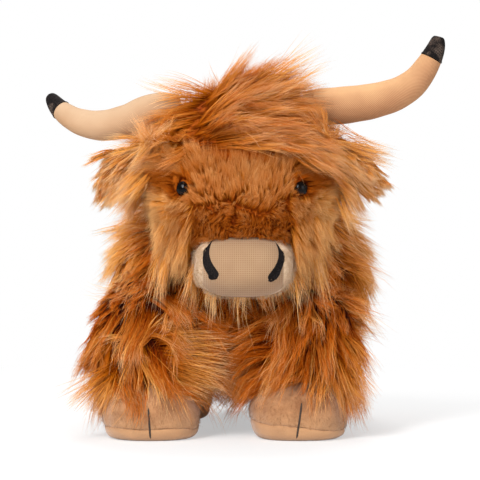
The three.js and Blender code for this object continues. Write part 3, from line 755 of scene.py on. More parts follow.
def blade_mesh(name, lines, across, width, tone):
    """One closed blade along each line, three-sided, thickest below its middle and drawn to a point"""
    count, rings = len(lines), lines.shape[1] - 1
    tangents = unit(np.gradient(lines, axis=1))
    side = unit(across[:, None] - tangents * (across[:, None] * tangents).sum(axis=2, keepdims=True))
    face = np.cross(tangents, side)
    run = np.linspace(0, 1, rings + 1)[:-1]
    swell = (0.72 + 0.9 * run) * (1 - run ** 1.7)
    half = width[:, None] / 2 * swell
    angles = np.arange(CORNERS) * math.tau / CORNERS + math.tau / 4
    ring = (
        lines[:, :-1, None]
        + side[:, :-1, None] * (half[:, :, None] * np.cos(angles))[..., None]
        + face[:, :-1, None] * (half[:, :, None] * np.sin(angles) * FLAT_SHARE)[..., None]
    )
    each = rings * CORNERS + 1
    places = np.concatenate([ring.reshape(count, -1, 3), lines[:, -1:]], axis=1).reshape(-1, 3)

    corner = np.arange(CORNERS)
    after = (corner + 1) % CORNERS
    quads = np.array([
        [r * CORNERS + c, r * CORNERS + d, (r + 1) * CORNERS + d, (r + 1) * CORNERS + c]
        for r in range(rings - 1) for c, d in zip(corner, after)
    ])
    last = (rings - 1) * CORNERS
    points_up = np.array([[last + c, last + d, each - 1] for c, d in zip(corner, after)])
    foot = np.array([[2, 1, 0]])
    pattern = np.concatenate([quads.ravel(), points_up.ravel(), foot.ravel()])
    sizes = np.array([4] * len(quads) + [3] * (len(points_up) + 1))
    loops = (pattern[None, :] + (np.arange(count) * each)[:, None]).ravel()
    starts = np.concatenate([[0], np.cumsum(np.tile(sizes, count))[:-1]])

    across_uv = np.tile([-HALF_BLADE, 0.0, HALF_BLADE], rings).tolist() + [0.0]
    along_uv = np.repeat(run, CORNERS).tolist() + [1.0]
    spread, rise = np.array(across_uv)[pattern], np.array(along_uv)[pattern]
    rise[-2] += FOOT_RISE
    layer = np.empty((count, len(pattern), 2), np.float32)
    layer[:, :, 0] = tone[:, None] + spread
    layer[:, :, 1] = np.clip(rise, 0.001, 0.999)

    mesh = bpy.data.meshes.new(name)
    mesh.vertices.add(len(places))
    mesh.vertices.foreach_set("co", places.astype(np.float32).ravel())
    mesh.loops.add(len(loops))
    mesh.loops.foreach_set("vertex_index", loops.astype(np.int32))
    mesh.polygons.add(len(starts))
    mesh.polygons.foreach_set("loop_start", starts.astype(np.int32))
    mesh.uv_layers.new(name=BAKE_LAYER).data.foreach_set("uv", layer.ravel())
    mesh.update(calc_edges=True)
    mesh.shade_smooth()
    return mesh


MOST_TRIANGLES = 190_000  # in one piece


def set_pile(name, lines, across, width, tone, material, slot, body="cow"):
    """Makes a coat from its strands, in as many pieces as its triangles need"""
    each = 6 * (lines.shape[1] - 2) + 4
    parts = math.ceil(len(lines) * each / MOST_TRIANGLES)
    for part in range(parts):
        take = slice(part, None, parts)
        label = name if parts == 1 else f"{name}_{part + 1}"
        mesh = blade_mesh(label, lines[take], across[take], width[take], tone[take])
        finished(add_object(label, mesh), material, body)


# Horns

LEFT_HORN_SHARES = ((0, 0, 0), (0.25, 0.02, 0), (0.4, 0.05, 0), (0.55, 0.1, 0), (0.71, 0.2, 0),
                    (0.83, 0.36, 0), (0.92, 0.6, 0), (0.975, 0.82, 0), (1, 1, 0))
RIGHT_HORN_SHARES = ((0, 0, 0), (0.25, -0.2, 0.05), (0.42, -0.75, 0.14), (0.6, -1, 0.3), (0.77, -0.72, 0.5),
                     (0.91, 0.02, 0.78), (1, 1, 1))
HORN_HALF_SHARES = (0.5, 0.5, 0.48, 0.45, 0.41, 0.34, 0.25)
HORN_SPAN = 313 * MM
HORN_ROOT_SPACING = 84 * MM
HORN_ROOT_HEIGHT = 253 * MM
HORN_DIAMETER = 35 * MM
HORN_BLUNTNESS = 0.42
HORN_STEPS = 240  # along its middle line
HORN_START = 10  # the step at which its cloth begins, in the head
HORN_AROUND = 72
TIP_LENGTH = 18 * MM
HORNS = {
    "right": {"shares": RIGHT_HORN_SHARES, "rise": 12 * MM, "sag": 13 * MM, "sweep": 42 * MM, "slim": 0.92},
    "left": {"shares": LEFT_HORN_SHARES, "rise": 55 * MM, "sag": 0, "sweep": 0, "slim": 1},
}


def smooth_line(knots, count):
    """A centripetal curve through the knots, in even steps of its length"""
    knots = np.array(knots, float)
    knots = np.vstack([2 * knots[0] - knots[1], knots, 2 * knots[-1] - knots[-2]])
    fine = []
    for a, b, c, d in zip(knots, knots[1:], knots[2:], knots[3:]):
        gaps = [max(np.linalg.norm(q - p) ** 0.5, 1e-9) for p, q in ((a, b), (b, c), (c, d))]
        leave = ((b - a) / gaps[0] - (c - a) / (gaps[0] + gaps[1]) + (c - b) / gaps[1]) * gaps[1]
        arrive = ((c - b) / gaps[1] - (d - b) / (gaps[1] + gaps[2]) + (d - c) / gaps[2]) * gaps[1]
        t = np.linspace(0, 1, 40, endpoint=False)[:, None]
        fine.append(b + t * leave + t ** 2 * (3 * (c - b) - 2 * leave - arrive)
                    + t ** 3 * (2 * (b - c) + leave + arrive))
    fine = np.vstack(fine + [knots[-2]])
    travelled = np.concatenate([[0], np.cumsum(np.linalg.norm(np.diff(fine, axis=0), axis=1))])
    wanted = np.linspace(0, travelled[-1], count)
    even = [np.interp(wanted, travelled, fine[:, axis]) for axis in range(3)]
    return np.stack(even, axis=1), travelled[-1]


def tube(name, line, radii, around, layer):
    """A closed round form along a line, with its cloth laid out in a texture layer"""
    tangents = unit(np.gradient(line, axis=0))
    side = unit(np.array([0, 1, 0]) - tangents * tangents[:, 1:2])
    rise = np.cross(side, tangents)
    turns = np.arange(around) * math.tau / around
    rings = (line[:, None] + side[:, None] * (np.cos(turns) * radii[:, None])[..., None]
             + rise[:, None] * (np.sin(turns) * radii[:, None])[..., None])
    shape = bmesh.new()
    uv = shape.loops.layers.uv.new(layer)
    levels = [[shape.verts.new(place) for place in ring] for ring in rings.tolist()]
    last = len(levels) - 1
    for r in range(last):
        for a in range(around):
            b = (a + 1) % around
            quad = shape.faces.new([levels[r][a], levels[r][b], levels[r + 1][b], levels[r + 1][a]])
            for loop, (turn, run) in zip(quad.loops, ((a, r), (a + 1, r), (a + 1, r + 1), (a, r + 1))):
                loop[uv].uv = (turn / around, run / last)
    for row, closed_by in ((levels[0], reversed), (levels[-1], list)):
        end = shape.faces.new(list(closed_by(row)))
        for index, loop in enumerate(end.loops):
            turn = index * math.tau / around
            loop[uv].uv = (0.5 + 0.01 * math.cos(turn), 0.5 + 0.01 * math.sin(turn))
    return closed_form(name, shape)


def make_horn(side, knit, black):
    """A stuffed knitted horn, whose black tip is a separate cap sewn over its end"""
    horn = HORNS[side]
    sign = SIDES[side]
    out = (HORN_SPAN - HORN_DIAMETER / 4 - HORN_ROOT_SPACING) / 2
    knots = [(
        HEAD_X + sign * (HORN_ROOT_SPACING / 2 + out * away),
        HORN_Y + horn["sweep"] * back,
        HORN_ROOT_HEIGHT + up * (horn["sag"] if up < 0 else horn["rise"]),
    ) for away, up, back in horn["shares"]]
    line, length = smooth_line(knots, HORN_STEPS)
    run = np.linspace(0, 1, HORN_STEPS)
    shares, _ = smooth_line([(share, 0, 0) for share in HORN_HALF_SHARES], 200)
    # The solid's rings lie closer at its ends, and this is the same rounding of them
    ring = np.sqrt(np.clip(1 - (1 - 2 * run) ** 2, 0, 1))
    section = np.interp(run, np.linspace(0, 1, len(shares)), shares[:, 0])
    radii = HORN_DIAMETER * horn["slim"] * section * ring ** HORN_BLUNTNESS
    seam = int((1 - TIP_LENGTH / length) * (HORN_STEPS - 1))
    sag = 1 + 0.012 * np.sin(run * 31) * np.sin(run * 17 + 2)  # the filling lies a little unevenly
    cloth = slice(HORN_START, seam)
    body = tube(f"{side}_horn_cloth", line[cloth], (radii * sag)[cloth], HORN_AROUND, HORN_LAYER)
    finished(body, knit, replaces=[f"{side}_horn"])
    cap_run = np.linspace(0, 1, HORN_STEPS - seam - 1)
    hem = 1 + 0.05 * np.exp(-((cap_run - 0.04) / 0.04) ** 2)
    cap = tube(f"{side}_horn_cap", line[seam:-1], radii[seam:-1] * hem + 0.1 * MM, HORN_AROUND, HORN_LAYER)
    finished(cap, black, replaces=[f"{side}_horn_tip"])
    return [body, cap]


# Eyes, muzzle and hooves

def make_eye(side, plastic):
    """A domed plastic eye, in the place and size of its solid"""
    eye = rounded_copy(f"{side}_eye_dome", f"{side}_eye", voxel=0.45 * MM, rounds=6)
    return finished(eye, plastic, replaces=[f"{side}_eye"])


def roughened(obj, amount, scale, seed):
    """Gives a soft surface the small hollows and creases of stuffed cloth"""
    texture = bpy.data.textures.new(f"{obj.name}_creases", "CLOUDS")
    texture.noise_scale = scale
    texture.noise_depth = 3
    anchor = add_object(f"{obj.name}_anchor", None)
    anchor.location = (seed * 0.037, seed * 0.011, 0)
    displace = obj.modifiers.new("creases", "DISPLACE")
    displace.texture = texture
    displace.strength = amount
    displace.mid_level = 0.5
    displace.texture_coords = "OBJECT"
    displace.texture_coords_object = anchor
    settled(obj)
    bpy.data.objects.remove(anchor)
    obj.data.shade_smooth()


SOLE_SHARES = ((0, 0.78), (0.1, 0.85), (0.3, 0.915), (0.6, 0.955), (0.86, 0.965), (1, 0.955))
HOOF_SHARES = ((0, 0.955), (0.04, 0.972), (0.12, 0.988), (0.28, 1), (0.45, 0.975), (0.66, 0.9), (0.86, 0.74),
               (1, 0.54))
HOOF_AROUND = 160
TOE_LEAN = {"front_right": 1.5 * MM, "front_left": -4 * MM}  # how far a toe stitch leans aside at its foot
STITCH_TOP = {"front_right": 26 * MM, "front_left": 30 * MM}
STITCH_RADIUS = 0.75 * MM
STITCH_STEPS = 60
STITCH_AROUND = 10
STITCH_FOOT = 2 * MM
STITCH_SUNK = 0.3  # of its radius lies in the cloth
SOLE_GAP = 0.1 * MM  # under the sole, and between it and the upper
# How far each front hoof's sole seam tilts up towards the cow's right
SEAM_TILT = {"front_right": 0.8 * MM, "front_left": 4.2 * MM}
WIDEST_LOOK = 0.2  # the cosine of how far aside a corner may lie to count for a direction
REACH_BLUR = 13  # neighbouring directions that are averaged


def footprint(node):
    """How far a hoof reaches from its middle, all round"""
    centre = middle(node)
    corners = np.array([(corner.co.x - centre.x, corner.co.y - centre.y)
                        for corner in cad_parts[node].data.vertices])
    turns = np.arange(HOOF_AROUND) * math.tau / HOOF_AROUND
    support = (corners @ np.stack([np.cos(turns), np.sin(turns)])).max(axis=0)
    facing = np.cos(turns[:, None] - turns[None, :])
    reach = support[None, :] / np.maximum(facing, WIDEST_LOOK)
    reach = np.where(facing > WIDEST_LOOK, reach, np.inf).min(axis=1)
    beside = REACH_BLUR // 2
    ring = np.concatenate([reach[-beside:], reach, reach[:beside]])
    return np.convolve(ring, np.ones(REACH_BLUR) / REACH_BLUR, "valid"), turns


def seam_rise(name, turn):
    """How far the sole's seam lies above its middle height, all round a hoof"""
    tilt = next((tilt for leg, tilt in SEAM_TILT.items() if name.startswith(leg)), 0)
    return tilt * (0.35 - math.cos(turn)) + 0.5 * MM * math.sin(turn * 5 + tilt * 900)


def lofted(name, centre, reach, turns, low, high, shares, rings, seam_at):
    """A closed form of rings, as wide at each height as its shares say, tilted where its seam runs"""
    run = np.linspace(0, 1, rings)
    width, _ = smooth_line([(place, share, 0) for place, share in shares], 400)
    shape = bmesh.new()
    levels = []
    for part, share in zip(run, np.interp(run, width[:, 0], width[:, 1])):
        tilt = 1 - abs(part - seam_at)
        ring = []
        for r, t in zip(reach, turns):
            level = low + (high - low) * part + seam_rise(name, t) * tilt
            ring.append((centre.x + r * share * math.cos(t), centre.y + r * share * math.sin(t), level))
        levels.append([shape.verts.new(place) for place in ring])
    for below, above in zip(levels, levels[1:]):
        for a in range(len(turns)):
            b = (a + 1) % len(turns)
            shape.faces.new((below[a], below[b], above[b], above[a]))
    for ring, height in ((levels[0], low), (levels[-1], high)):
        hub = shape.verts.new((centre.x, centre.y, height))
        for a in range(len(turns)):
            b = (a + 1) % len(turns)
            shape.faces.new((ring[b], ring[a], hub))
    return closed_form(name, shape)


def make_hoof(leg, velvet, thread):
    """A soft hoof: its upper, the sole sewn under it, and the dark toe stitch down its front"""
    end, side = leg.split("_")
    seed = 1 + SIDES[side] + 3 * ENDS.index(end)
    centre = middle(f"{leg}_hoof")
    low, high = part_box(f"{leg}_hoof")
    reach, turns = footprint(f"{leg}_hoof")
    seam = low.z - SOLE_GAP
    upper = lofted(f"{leg}_hoof_cloth", centre, reach, turns, seam, high.z, HOOF_SHARES, rings=70, seam_at=0)
    sole = lofted(f"{leg}_sole_cloth", centre, reach, turns, SOLE_GAP, seam - SOLE_GAP, SOLE_SHARES,
                  rings=30, seam_at=1)
    roughened(upper, amount=3 * MM, scale=15 * MM, seed=seed)
    roughened(sole, amount=1 * MM, scale=9 * MM, seed=seed + 7)
    flat = Surface(sole.data).places
    flat[:, 2] = np.maximum(flat[:, 2], SOLE_GAP)
    moved(sole, flat)
    finished(upper, velvet, replaces=[f"{leg}_hoof"])
    finished(sole, velvet, replaces=[f"{leg}_sole"])

    walls = joined_walls([upper, sole])
    top = STITCH_TOP.get(leg, 28 * MM)
    stitch = middle(f"{leg}_toe_stitch")
    knots = []
    for part in np.linspace(0, 1, 24):
        across = stitch.x - TOE_LEAN.get(leg, 0) * (0.5 - part)
        start = Vector((across, low.y - 30 * MM, top + (STITCH_FOOT - top) * part))
        place, normal, _, _ = walls.ray_cast(start, Vector((0, 1, 0)))
        knots.append(place - normal * STITCH_RADIUS * STITCH_SUNK)
    line, _ = smooth_line(knots, STITCH_STEPS)
    radii = STITCH_RADIUS * (1 - np.linspace(-1, 1, STITCH_STEPS) ** 8) + 0.05 * MM
    sewn = tube(f"{leg}_toe_thread", line, radii, STITCH_AROUND, "thread")
    finished(sewn, thread, replaces=[f"{leg}_toe_stitch"])
    return [upper, sole]


MUZZLE_HALF_WIDTH = 37 * MM
MUZZLE_HALF_HEIGHT = 23.8 * MM
MUZZLE_DEPTH = 41 * MM
MUZZLE_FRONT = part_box("front_muzzle_panel")[0].y
CLOTH_THICKNESS = 1.6 * MM
SEAM_DEPTH = 1.0 * MM
SEAM_BOW = {-1: 30.1 * MM, 1: 28.9 * MM}  # how far from the middle each seam runs at its widest
NOSTRIL_HOLLOW = 2.2 * MM
NOSTRIL_STANDOUT = 0.3 * MM
PANEL_ROWS = 110
FRONT_COLUMNS = 140
SIDE_COLUMNS = 30
PATCH_ROWS = 60
PATCH_COLUMNS = 16
# A nostril's width, and its foot and top as shares of the muzzle's half height
NOSTRILS = {-1: (10.4 * MM, -0.38, 0.78), 1: (8.0 * MM, -0.46, 0.74)}


def muzzle_edge(height):
    """Half the muzzle's width at a height share: square above, rounder below"""
    power = np.where(height > 0, 3.3, 2.7)
    return MUZZLE_HALF_WIDTH * (1 - np.abs(height) ** power) ** (1 / power)


def nostril_edge(height, sign):
    """How far from the middle a nostril's outer edge runs: bowed out"""
    return SEAM_BOW[sign] * (1 - 0.26 * np.minimum(((height - 0.18) / 0.62) ** 2, 0.9))


def muzzle_seam(height, sign):
    """How far from the middle a side panel's seam runs: along the nostril, then on down to the rim"""
    return np.minimum(nostril_edge(np.maximum(height, 0.18), sign), muzzle_edge(height) * 0.9)


def nostril_width(height, sign):
    """A comma's width: a thin tail above, and full near its foot"""
    width, foot, top = NOSTRILS[sign]
    run = np.clip((height - foot) / (top - foot), 0, 1)
    return width * (1 - run) ** 0.9 * (1 - np.exp(-run / 0.06))


def on_muzzle(across, height):
    """A place on the muzzle's stuffed dome, sunk along its seams and in its nostrils"""
    edge = np.maximum(muzzle_edge(height), 1e-6)
    reach = np.clip(np.sqrt((across / edge) ** 2 * (1 - height ** 2) + height ** 2), 0, 1)
    dome = (1 - reach ** 3.4) ** (1 / 2.1)
    sunk = np.zeros(len(across))
    for sign in SIDES.values():
        within = muzzle_seam(height, sign) - across * sign
        sunk += SEAM_DEPTH * np.exp(-(within / (2 * MM)) ** 2)
        within = nostril_edge(height, sign) - across * sign
        width = np.maximum(nostril_width(height, sign), 0.1 * MM)
        inside = np.clip(within / width, 0, 1)
        sunk += NOSTRIL_HOLLOW * np.sin(math.pi * inside) ** 0.7 * ease(0.5 * MM, 4 * MM, width)
    return rows(MUZZLE.x + across, MUZZLE_FRONT + MUZZLE_DEPTH * (1 - dome) + sunk * dome,
                MUZZLE.z + MUZZLE_HALF_HEIGHT * height)


def cloth_panel(name, inner, outer, heights, columns, standout=0):
    """A panel of the muzzle between two lines up its front, with its thickness"""
    shape = bmesh.new()
    grid = []
    for height in heights:
        across = np.linspace(inner(height), outer(height), columns)
        places = on_muzzle(across, np.full(columns, height))
        places[:, 1] -= standout
        grid.append([shape.verts.new(place) for place in places.tolist()])
    for below, above in zip(grid, grid[1:]):
        for a, b, c, d in zip(below, below[1:], above[1:], above):
            shape.faces.new((a, b, c, d))
    bmesh.ops.remove_doubles(shape, verts=shape.verts, dist=0.02 * MM)
    bmesh.ops.recalc_face_normals(shape, faces=shape.faces)
    if sum(face.normal.y * face.calc_area() for face in shape.faces) > 0:
        bmesh.ops.reverse_faces(shape, faces=shape.faces)
    panel = from_shape(name, shape)
    thicken = panel.modifiers.new("thickness", "SOLIDIFY")
    thicken.thickness = CLOTH_THICKNESS
    thicken.offset = -1
    settled(panel)
    panel.data.shade_smooth()
    return panel


BROW_SET_BACK = 11 * MM


def sunk_above_muzzle(obj):
    """Sets the head's backing back where it would hide the muzzle's top"""
    places = Surface(obj.data).places
    height = (places[:, 2] - MUZZLE.z) / MUZZLE_HALF_HEIGHT
    near = ease(1.7, 1.05, muzzle_reach(places)) * ease(-0.1, 0.6, height)
    near *= ease(MUZZLE.y + 60 * MM, MUZZLE.y + 30 * MM, places[:, 1])
    places[:, 1] += BROW_SET_BACK * near
    moved(obj, places)


def make_muzzle(weave, fleece, black):
    """The stuffed muzzle: a woven front, a fleece panel at each side and a nostril set in each seam"""
    heights = np.sin(np.linspace(-math.pi / 2, math.pi / 2, PANEL_ROWS))

    def on_side(edge, sign):
        """An edge that bounds a panel, on one side of the muzzle's middle"""
        return lambda height: sign * edge(height, sign)

    def rim(height, sign):
        return muzzle_edge(height)

    def inner_edge(height, sign):
        return nostril_edge(height, sign) - nostril_width(height, sign)

    front = cloth_panel("muzzle_front_cloth", on_side(muzzle_seam, -1), on_side(muzzle_seam, 1), heights,
                        FRONT_COLUMNS)
    made = {"front": finished(front, weave, replaces=["front_muzzle_panel"])}
    for side, sign in SIDES.items():
        seam = on_side(muzzle_seam, sign)
        panel = cloth_panel(f"{side}_muzzle_cloth", seam, on_side(rim, sign), heights, SIDE_COLUMNS)
        made[side] = finished(panel, fleece, replaces=[f"{side}_muzzle_panel"])
        _, foot, top = NOSTRILS[sign]
        patch = cloth_panel(f"{side}_nostril_cloth", on_side(inner_edge, sign), on_side(nostril_edge, sign),
                            np.linspace(foot, top, PATCH_ROWS), PATCH_COLUMNS, NOSTRIL_STANDOUT)
        made[f"{side}_nostril"] = finished(patch, black, replaces=[f"{side}_nostril"])
    return made


# How the hair lies

def rows(*columns):
    return np.stack(np.broadcast_arrays(*columns), axis=1)


def one_way(*direction):
    """The same lie everywhere"""
    return lambda points: np.tile(np.array(direction, float), (len(points), 1))


PART_X = HEAD_X - 30 * MM  # the forelock's parting
EYE_HALF_WIDTH = 3.4 * MM  # of the skin round an eye where no hair grows
EYE_HALF_HEIGHT = 6 * MM


def eye_gap(points):
    """Distance to the nearer eye, seen from ahead"""
    gaps = [np.hypot(points[:, 0] - eye.x, points[:, 2] - eye.z) for eye in EYES.values()]
    return np.minimum(*gaps)


def face_place(points):
    """Places on the head: across from its middle, up from the eyes, and ahead of the horns"""
    return points[:, 0] - HEAD_X, points[:, 2] - EYE_Z, CROWN.y - points[:, 1]


def fringe_edge(across):
    """How high above the eyes the fringe's lower edge arches"""
    return 30 * MM - 2.6 * across ** 2 / UNIT


def muzzle_reach(points):
    """0 at the muzzle's middle and 1 at its rim, seen from ahead"""
    across = (points[:, 0] - MUZZLE.x) / MUZZLE_HALF_WIDTH
    rise = (points[:, 2] - MUZZLE.z) / MUZZLE_HALF_HEIGHT
    return np.hypot(across, rise)


def face_lie(points):
    """Up the forehead, down the bridge, outward at the temples and down over the cheeks"""
    across, rise, _ = face_place(points)
    sign = np.where(across < 0, -1.0, 1.0)
    beside = ease(26 * MM, 44 * MM, np.abs(across))[:, None]
    below = ease(-7 * MM, -20 * MM, rise)[:, None]
    brow = rows(across / (130 * MM), -0.1, 1.0)
    bridge = rows(across / (60 * MM), -0.2, -0.8)
    temple = rows(sign, 0.3, 0.1)
    cheek = rows(sign * 0.6, 0.1, -0.9)
    inner = brow * (1 - below) + bridge * below
    outer = temple * (1 - below) + cheek * below
    lie = inner * (1 - beside) + outer * beside
    for eye in EYES.values():
        apart = rows(points[:, 0] - eye.x, 0.0, points[:, 2] - eye.z)
        near = np.exp(-(np.linalg.norm(apart, axis=1, keepdims=True) / (12 * MM)) ** 2)
        lie = lie + unit(apart) * near * 0.35
    # Small curls on the bridge, which turn every few millimetres
    curly = bridge_share(points)[:, None] * 1.2
    turn = points[:, 0] * 700 + np.sin(points[:, 2] * 500) * 3
    return lie + curly * rows(np.sin(turn), 0.0, np.cos(turn * 1.3 + points[:, 2] * 600))


def bridge_share(points):
    """1 on the bridge of the nose, just above the muzzle"""
    across, rise, _ = face_place(points)
    return np.exp(-((rise + 24 * MM) / (13 * MM)) ** 2) * (1 - ease(30 * MM, 48 * MM, np.abs(across)))


def face_length(points):
    """Short round the eyes and on the bridge, longer at the sides and over the brow"""
    across, rise, _ = face_place(points)
    longer = 15 * MM + 7 * MM * ease(38 * MM, 64 * MM, np.abs(across)) + 7 * MM * ease(0, 20 * MM, rise)
    by_eyes = 0.45 + 0.55 * ease(6 * MM, 14 * MM, eye_gap(points))
    return (longer - bridge_share(points) * 8 * MM) * by_eyes


def face_coat():
    """The short curly hair of the forehead, bridge and cheeks"""
    def bare(points):
        across, rise, ahead = face_place(points)
        behind_muzzle = (muzzle_reach(points) < 0.96) & (ahead > 45 * MM)
        gap = 15 * MM - 12 * MM * ease(14 * MM, 40 * MM, np.abs(across))
        fringe = (rise > fringe_edge(across) - gap) & (ahead > 0)
        eyes = np.zeros(len(points), bool)
        for eye in EYES.values():
            aside = (points[:, 0] - eye.x) / EYE_HALF_WIDTH
            up = (points[:, 2] - eye.z) / EYE_HALF_HEIGHT
            eyes |= aside ** 2 + up ** 2 < 1
        return (eyes & (ahead > 0)) | behind_muzzle | fringe

    def tone(points):
        across, rise, _ = face_place(points)
        # Painted shade: darker round each eye and in a spot outward and a little above it
        outer = ease(4 * MM, 11 * MM, np.hypot(np.abs(across) - 51 * MM, rise - 5 * MM))
        socket = 1 - ease(6 * MM, 10 * MM, eye_gap(points)) * outer
        cheek = ease(40 * MM, 58 * MM, np.abs(across)) * ease(14 * MM, -10 * MM, rise)
        # painted shade under the fringe's edge
        brow = np.exp(-((rise - 26 * MM) / (12 * MM)) ** 2) * (1 - ease(20 * MM, 50 * MM, np.abs(across)))
        patches = np.sin(points[:, 0] * 210 + 1) * np.sin(points[:, 2] * 170 + points[:, 0] * 60)
        return 0.31 + 0.54 * cheek - 0.2 * brow - 0.3 * bridge_share(points) - 0.6 * socket + 0.07 * patches

    def thickly(points):
        return 0.25 + 0.75 * ease(CROWN.y + 10 * MM, CROWN.y - 30 * MM, points[:, 1])

    def stand(points):
        return 0.27 + 0.18 * bridge_share(points)

    return Coat(strands=84000, lie=face_lie, length=face_length, stand=stand, droop=2, hang=0.2, lock=8 * MM,
                tuft=1.9 * MM, gather=0.15, pinch=0.2, unruly=0.13, wavy=0.08, frizz=0.06, width=0.34 * MM,
                rings=2, tone=tone, tone_spread=0.1, thickly=thickly, bare=bare)


def fringe_coat():
    """The long locks of the brow, parted, and swept sideways in low arcs"""
    def bare(points):
        across, rise, ahead = face_place(points)
        return (rise < fringe_edge(across)) | (ahead < -10 * MM) | (np.abs(across) > 62 * MM)

    def lie(points):
        away = points[:, 0] - PART_X
        falling = ease(10 * MM, 90 * MM, np.abs(away))
        return rows(np.where(away < 0, -1.0, 1.0), -0.1, 0.1 - 0.6 * falling)

    def tone(points):
        parting = np.exp(-((points[:, 0] - PART_X) / (16 * MM)) ** 2)
        aside = ease(-20 * MM, -70 * MM, points[:, 0] - HEAD_X)
        return 0.42 + 0.36 * aside - 0.12 * parting

    return Coat(strands=9000, lie=lie, length=56 * MM, stand=0.18, droop=7, lock=12 * MM, tuft=3 * MM,
                gather=0.35, pinch=0.74, unruly=0.18, wavy=0.12, frizz=0.03, width=0.46 * MM, tone=tone,
                tone_spread=0.13, bare=bare)


def temple_coat():
    """Long locks that spread sideways from under the horns, over the ears"""
    def bare(points):
        across, rise, ahead = face_place(points)
        return (np.abs(across) < 44 * MM) | (rise < 6 * MM) | (rise > 58 * MM) | (np.abs(ahead) > 46 * MM)

    def lie(points):
        across, rise, _ = face_place(points)
        return rows(np.sign(across), -0.15, -0.1 - 0.7 * ease(54 * MM, 20 * MM, rise))

    def length(points):
        return 50 * MM + 10 * MM * ease(30 * MM, 50 * MM, points[:, 2] - EYE_Z)

    return Coat(strands=7500, lie=lie, length=length, stand=0.36, droop=8, lock=11 * MM, tuft=3 * MM,
                gather=0.4, pinch=0.8, unruly=0.26, wavy=0.12, frizz=0.035, width=0.48 * MM, tone=0.74,
                tone_spread=0.15, bare=bare)


def jowl_coat():
    """Soft golden hair that hangs from the cheeks beside the muzzle"""
    def bare(points):
        across, rise, ahead = face_place(points)
        return (np.abs(across) < 34 * MM) | (rise > -4 * MM) | (ahead < -5 * MM)

    def lie(points):
        return rows((points[:, 0] - HEAD_X) / (110 * MM), -0.1, -1.0)

    def length(points):
        across, rise, _ = face_place(points)
        outer = ease(36 * MM, 52 * MM, np.abs(across)) * ease(-6 * MM, -26 * MM, rise)
        low_down = ease(-22 * MM, -40 * MM, rise)
        return (12 + 20 * outer * (1 - low_down) + 32 * low_down) * MM

    def tone(points):
        across, rise, _ = face_place(points)
        low_down = ease(-22 * MM, -38 * MM, rise)
        return 0.42 + 0.5 * np.maximum(ease(42 * MM, 58 * MM, np.abs(across)), 0.8 * low_down)

    return Coat(strands=9500, lie=lie, length=length, stand=0.26, droop=12, hang=1, lock=8 * MM,
                tuft=2.2 * MM, gather=0.25, pinch=0.38, unruly=0.13, wavy=0.08, frizz=0.05, width=0.38 * MM,
                rings=4, tone=tone, tone_spread=0.12, bare=bare)


def beard_coat():
    """Straight strands that hang from the chin"""
    def bare(points):
        across, rise, ahead = face_place(points)
        before_muzzle = (muzzle_reach(points) < 1.04) & (ahead > 58 * MM)
        above = rise > -40 * MM + 14 * MM * ease(36 * MM, 52 * MM, np.abs(across))
        return above | (np.abs(across) > 58 * MM) | (ahead < 0) | before_muzzle

    def lie(points):
        return rows((points[:, 0] - HEAD_X) / (90 * MM), -0.15, -1.0)

    def length(points):
        return 60 * MM + 8 * MM * ease(14 * MM, 40 * MM, np.abs(points[:, 0] - HEAD_X))

    return Coat(strands=3800, lie=lie, length=length, stand=0.24, droop=20, hang=1, lock=9 * MM,
                tuft=3.4 * MM, gather=0.5, pinch=0.92, unruly=0.24, wavy=0.14, frizz=0.04, width=0.54 * MM,
                tone=0.86, tone_spread=0.2, uneven=0.6, bare=bare)


def crown_lie(points):
    """Parted, and swept sideways over the brow and the horns, and back down the nape"""
    away = points[:, 0] - PART_X
    sign = np.where(away < 0, -1.0, 1.0)
    ahead = ease(CROWN.y + 30 * MM, CROWN.y - 30 * MM, points[:, 1])
    falling = ease(20 * MM, 100 * MM, np.abs(away)) * 0.5
    falling += ease(CROWN.z + 18 * MM, CROWN.z, points[:, 2]) * 0.5
    return rows(sign * (0.35 + 0.65 * ahead), 0.8 - 0.85 * ahead, -0.1 - falling - 0.3 * (1 - ahead))


def crown_coat():
    """The forelock's long hair"""
    def aside(points):
        return np.abs(points[:, 0] - CROWN.x)

    def length(points):
        behind = ease(CROWN.y - 24 * MM, CROWN.y + 6 * MM, points[:, 1])
        return 50 * MM - 14 * MM * ease(36 * MM, 70 * MM, aside(points)) - 10 * MM * behind

    def stand(points):
        return 0.22 - 0.06 * ease(CROWN.z + 6 * MM, CROWN.z - 4 * MM, points[:, 2])

    def tone(points):
        return 0.38 + 0.38 * ease(40 * MM, 80 * MM, aside(points))

    return Coat(strands=16000, lie=crown_lie, length=length, stand=stand, droop=5, lock=13 * MM, gather=0.35,
                pinch=0.75, unruly=0.24, wavy=0.16, frizz=0.035, width=0.48 * MM, tone=tone)


CROWN_HALF_WIDTH = 78 * MM
CROWN_HEIGHT = 56 * MM
CROWN_FRONT = CROWN.y - 20 * MM  # where its loose locks start
LOOSE_TONE = 0.78

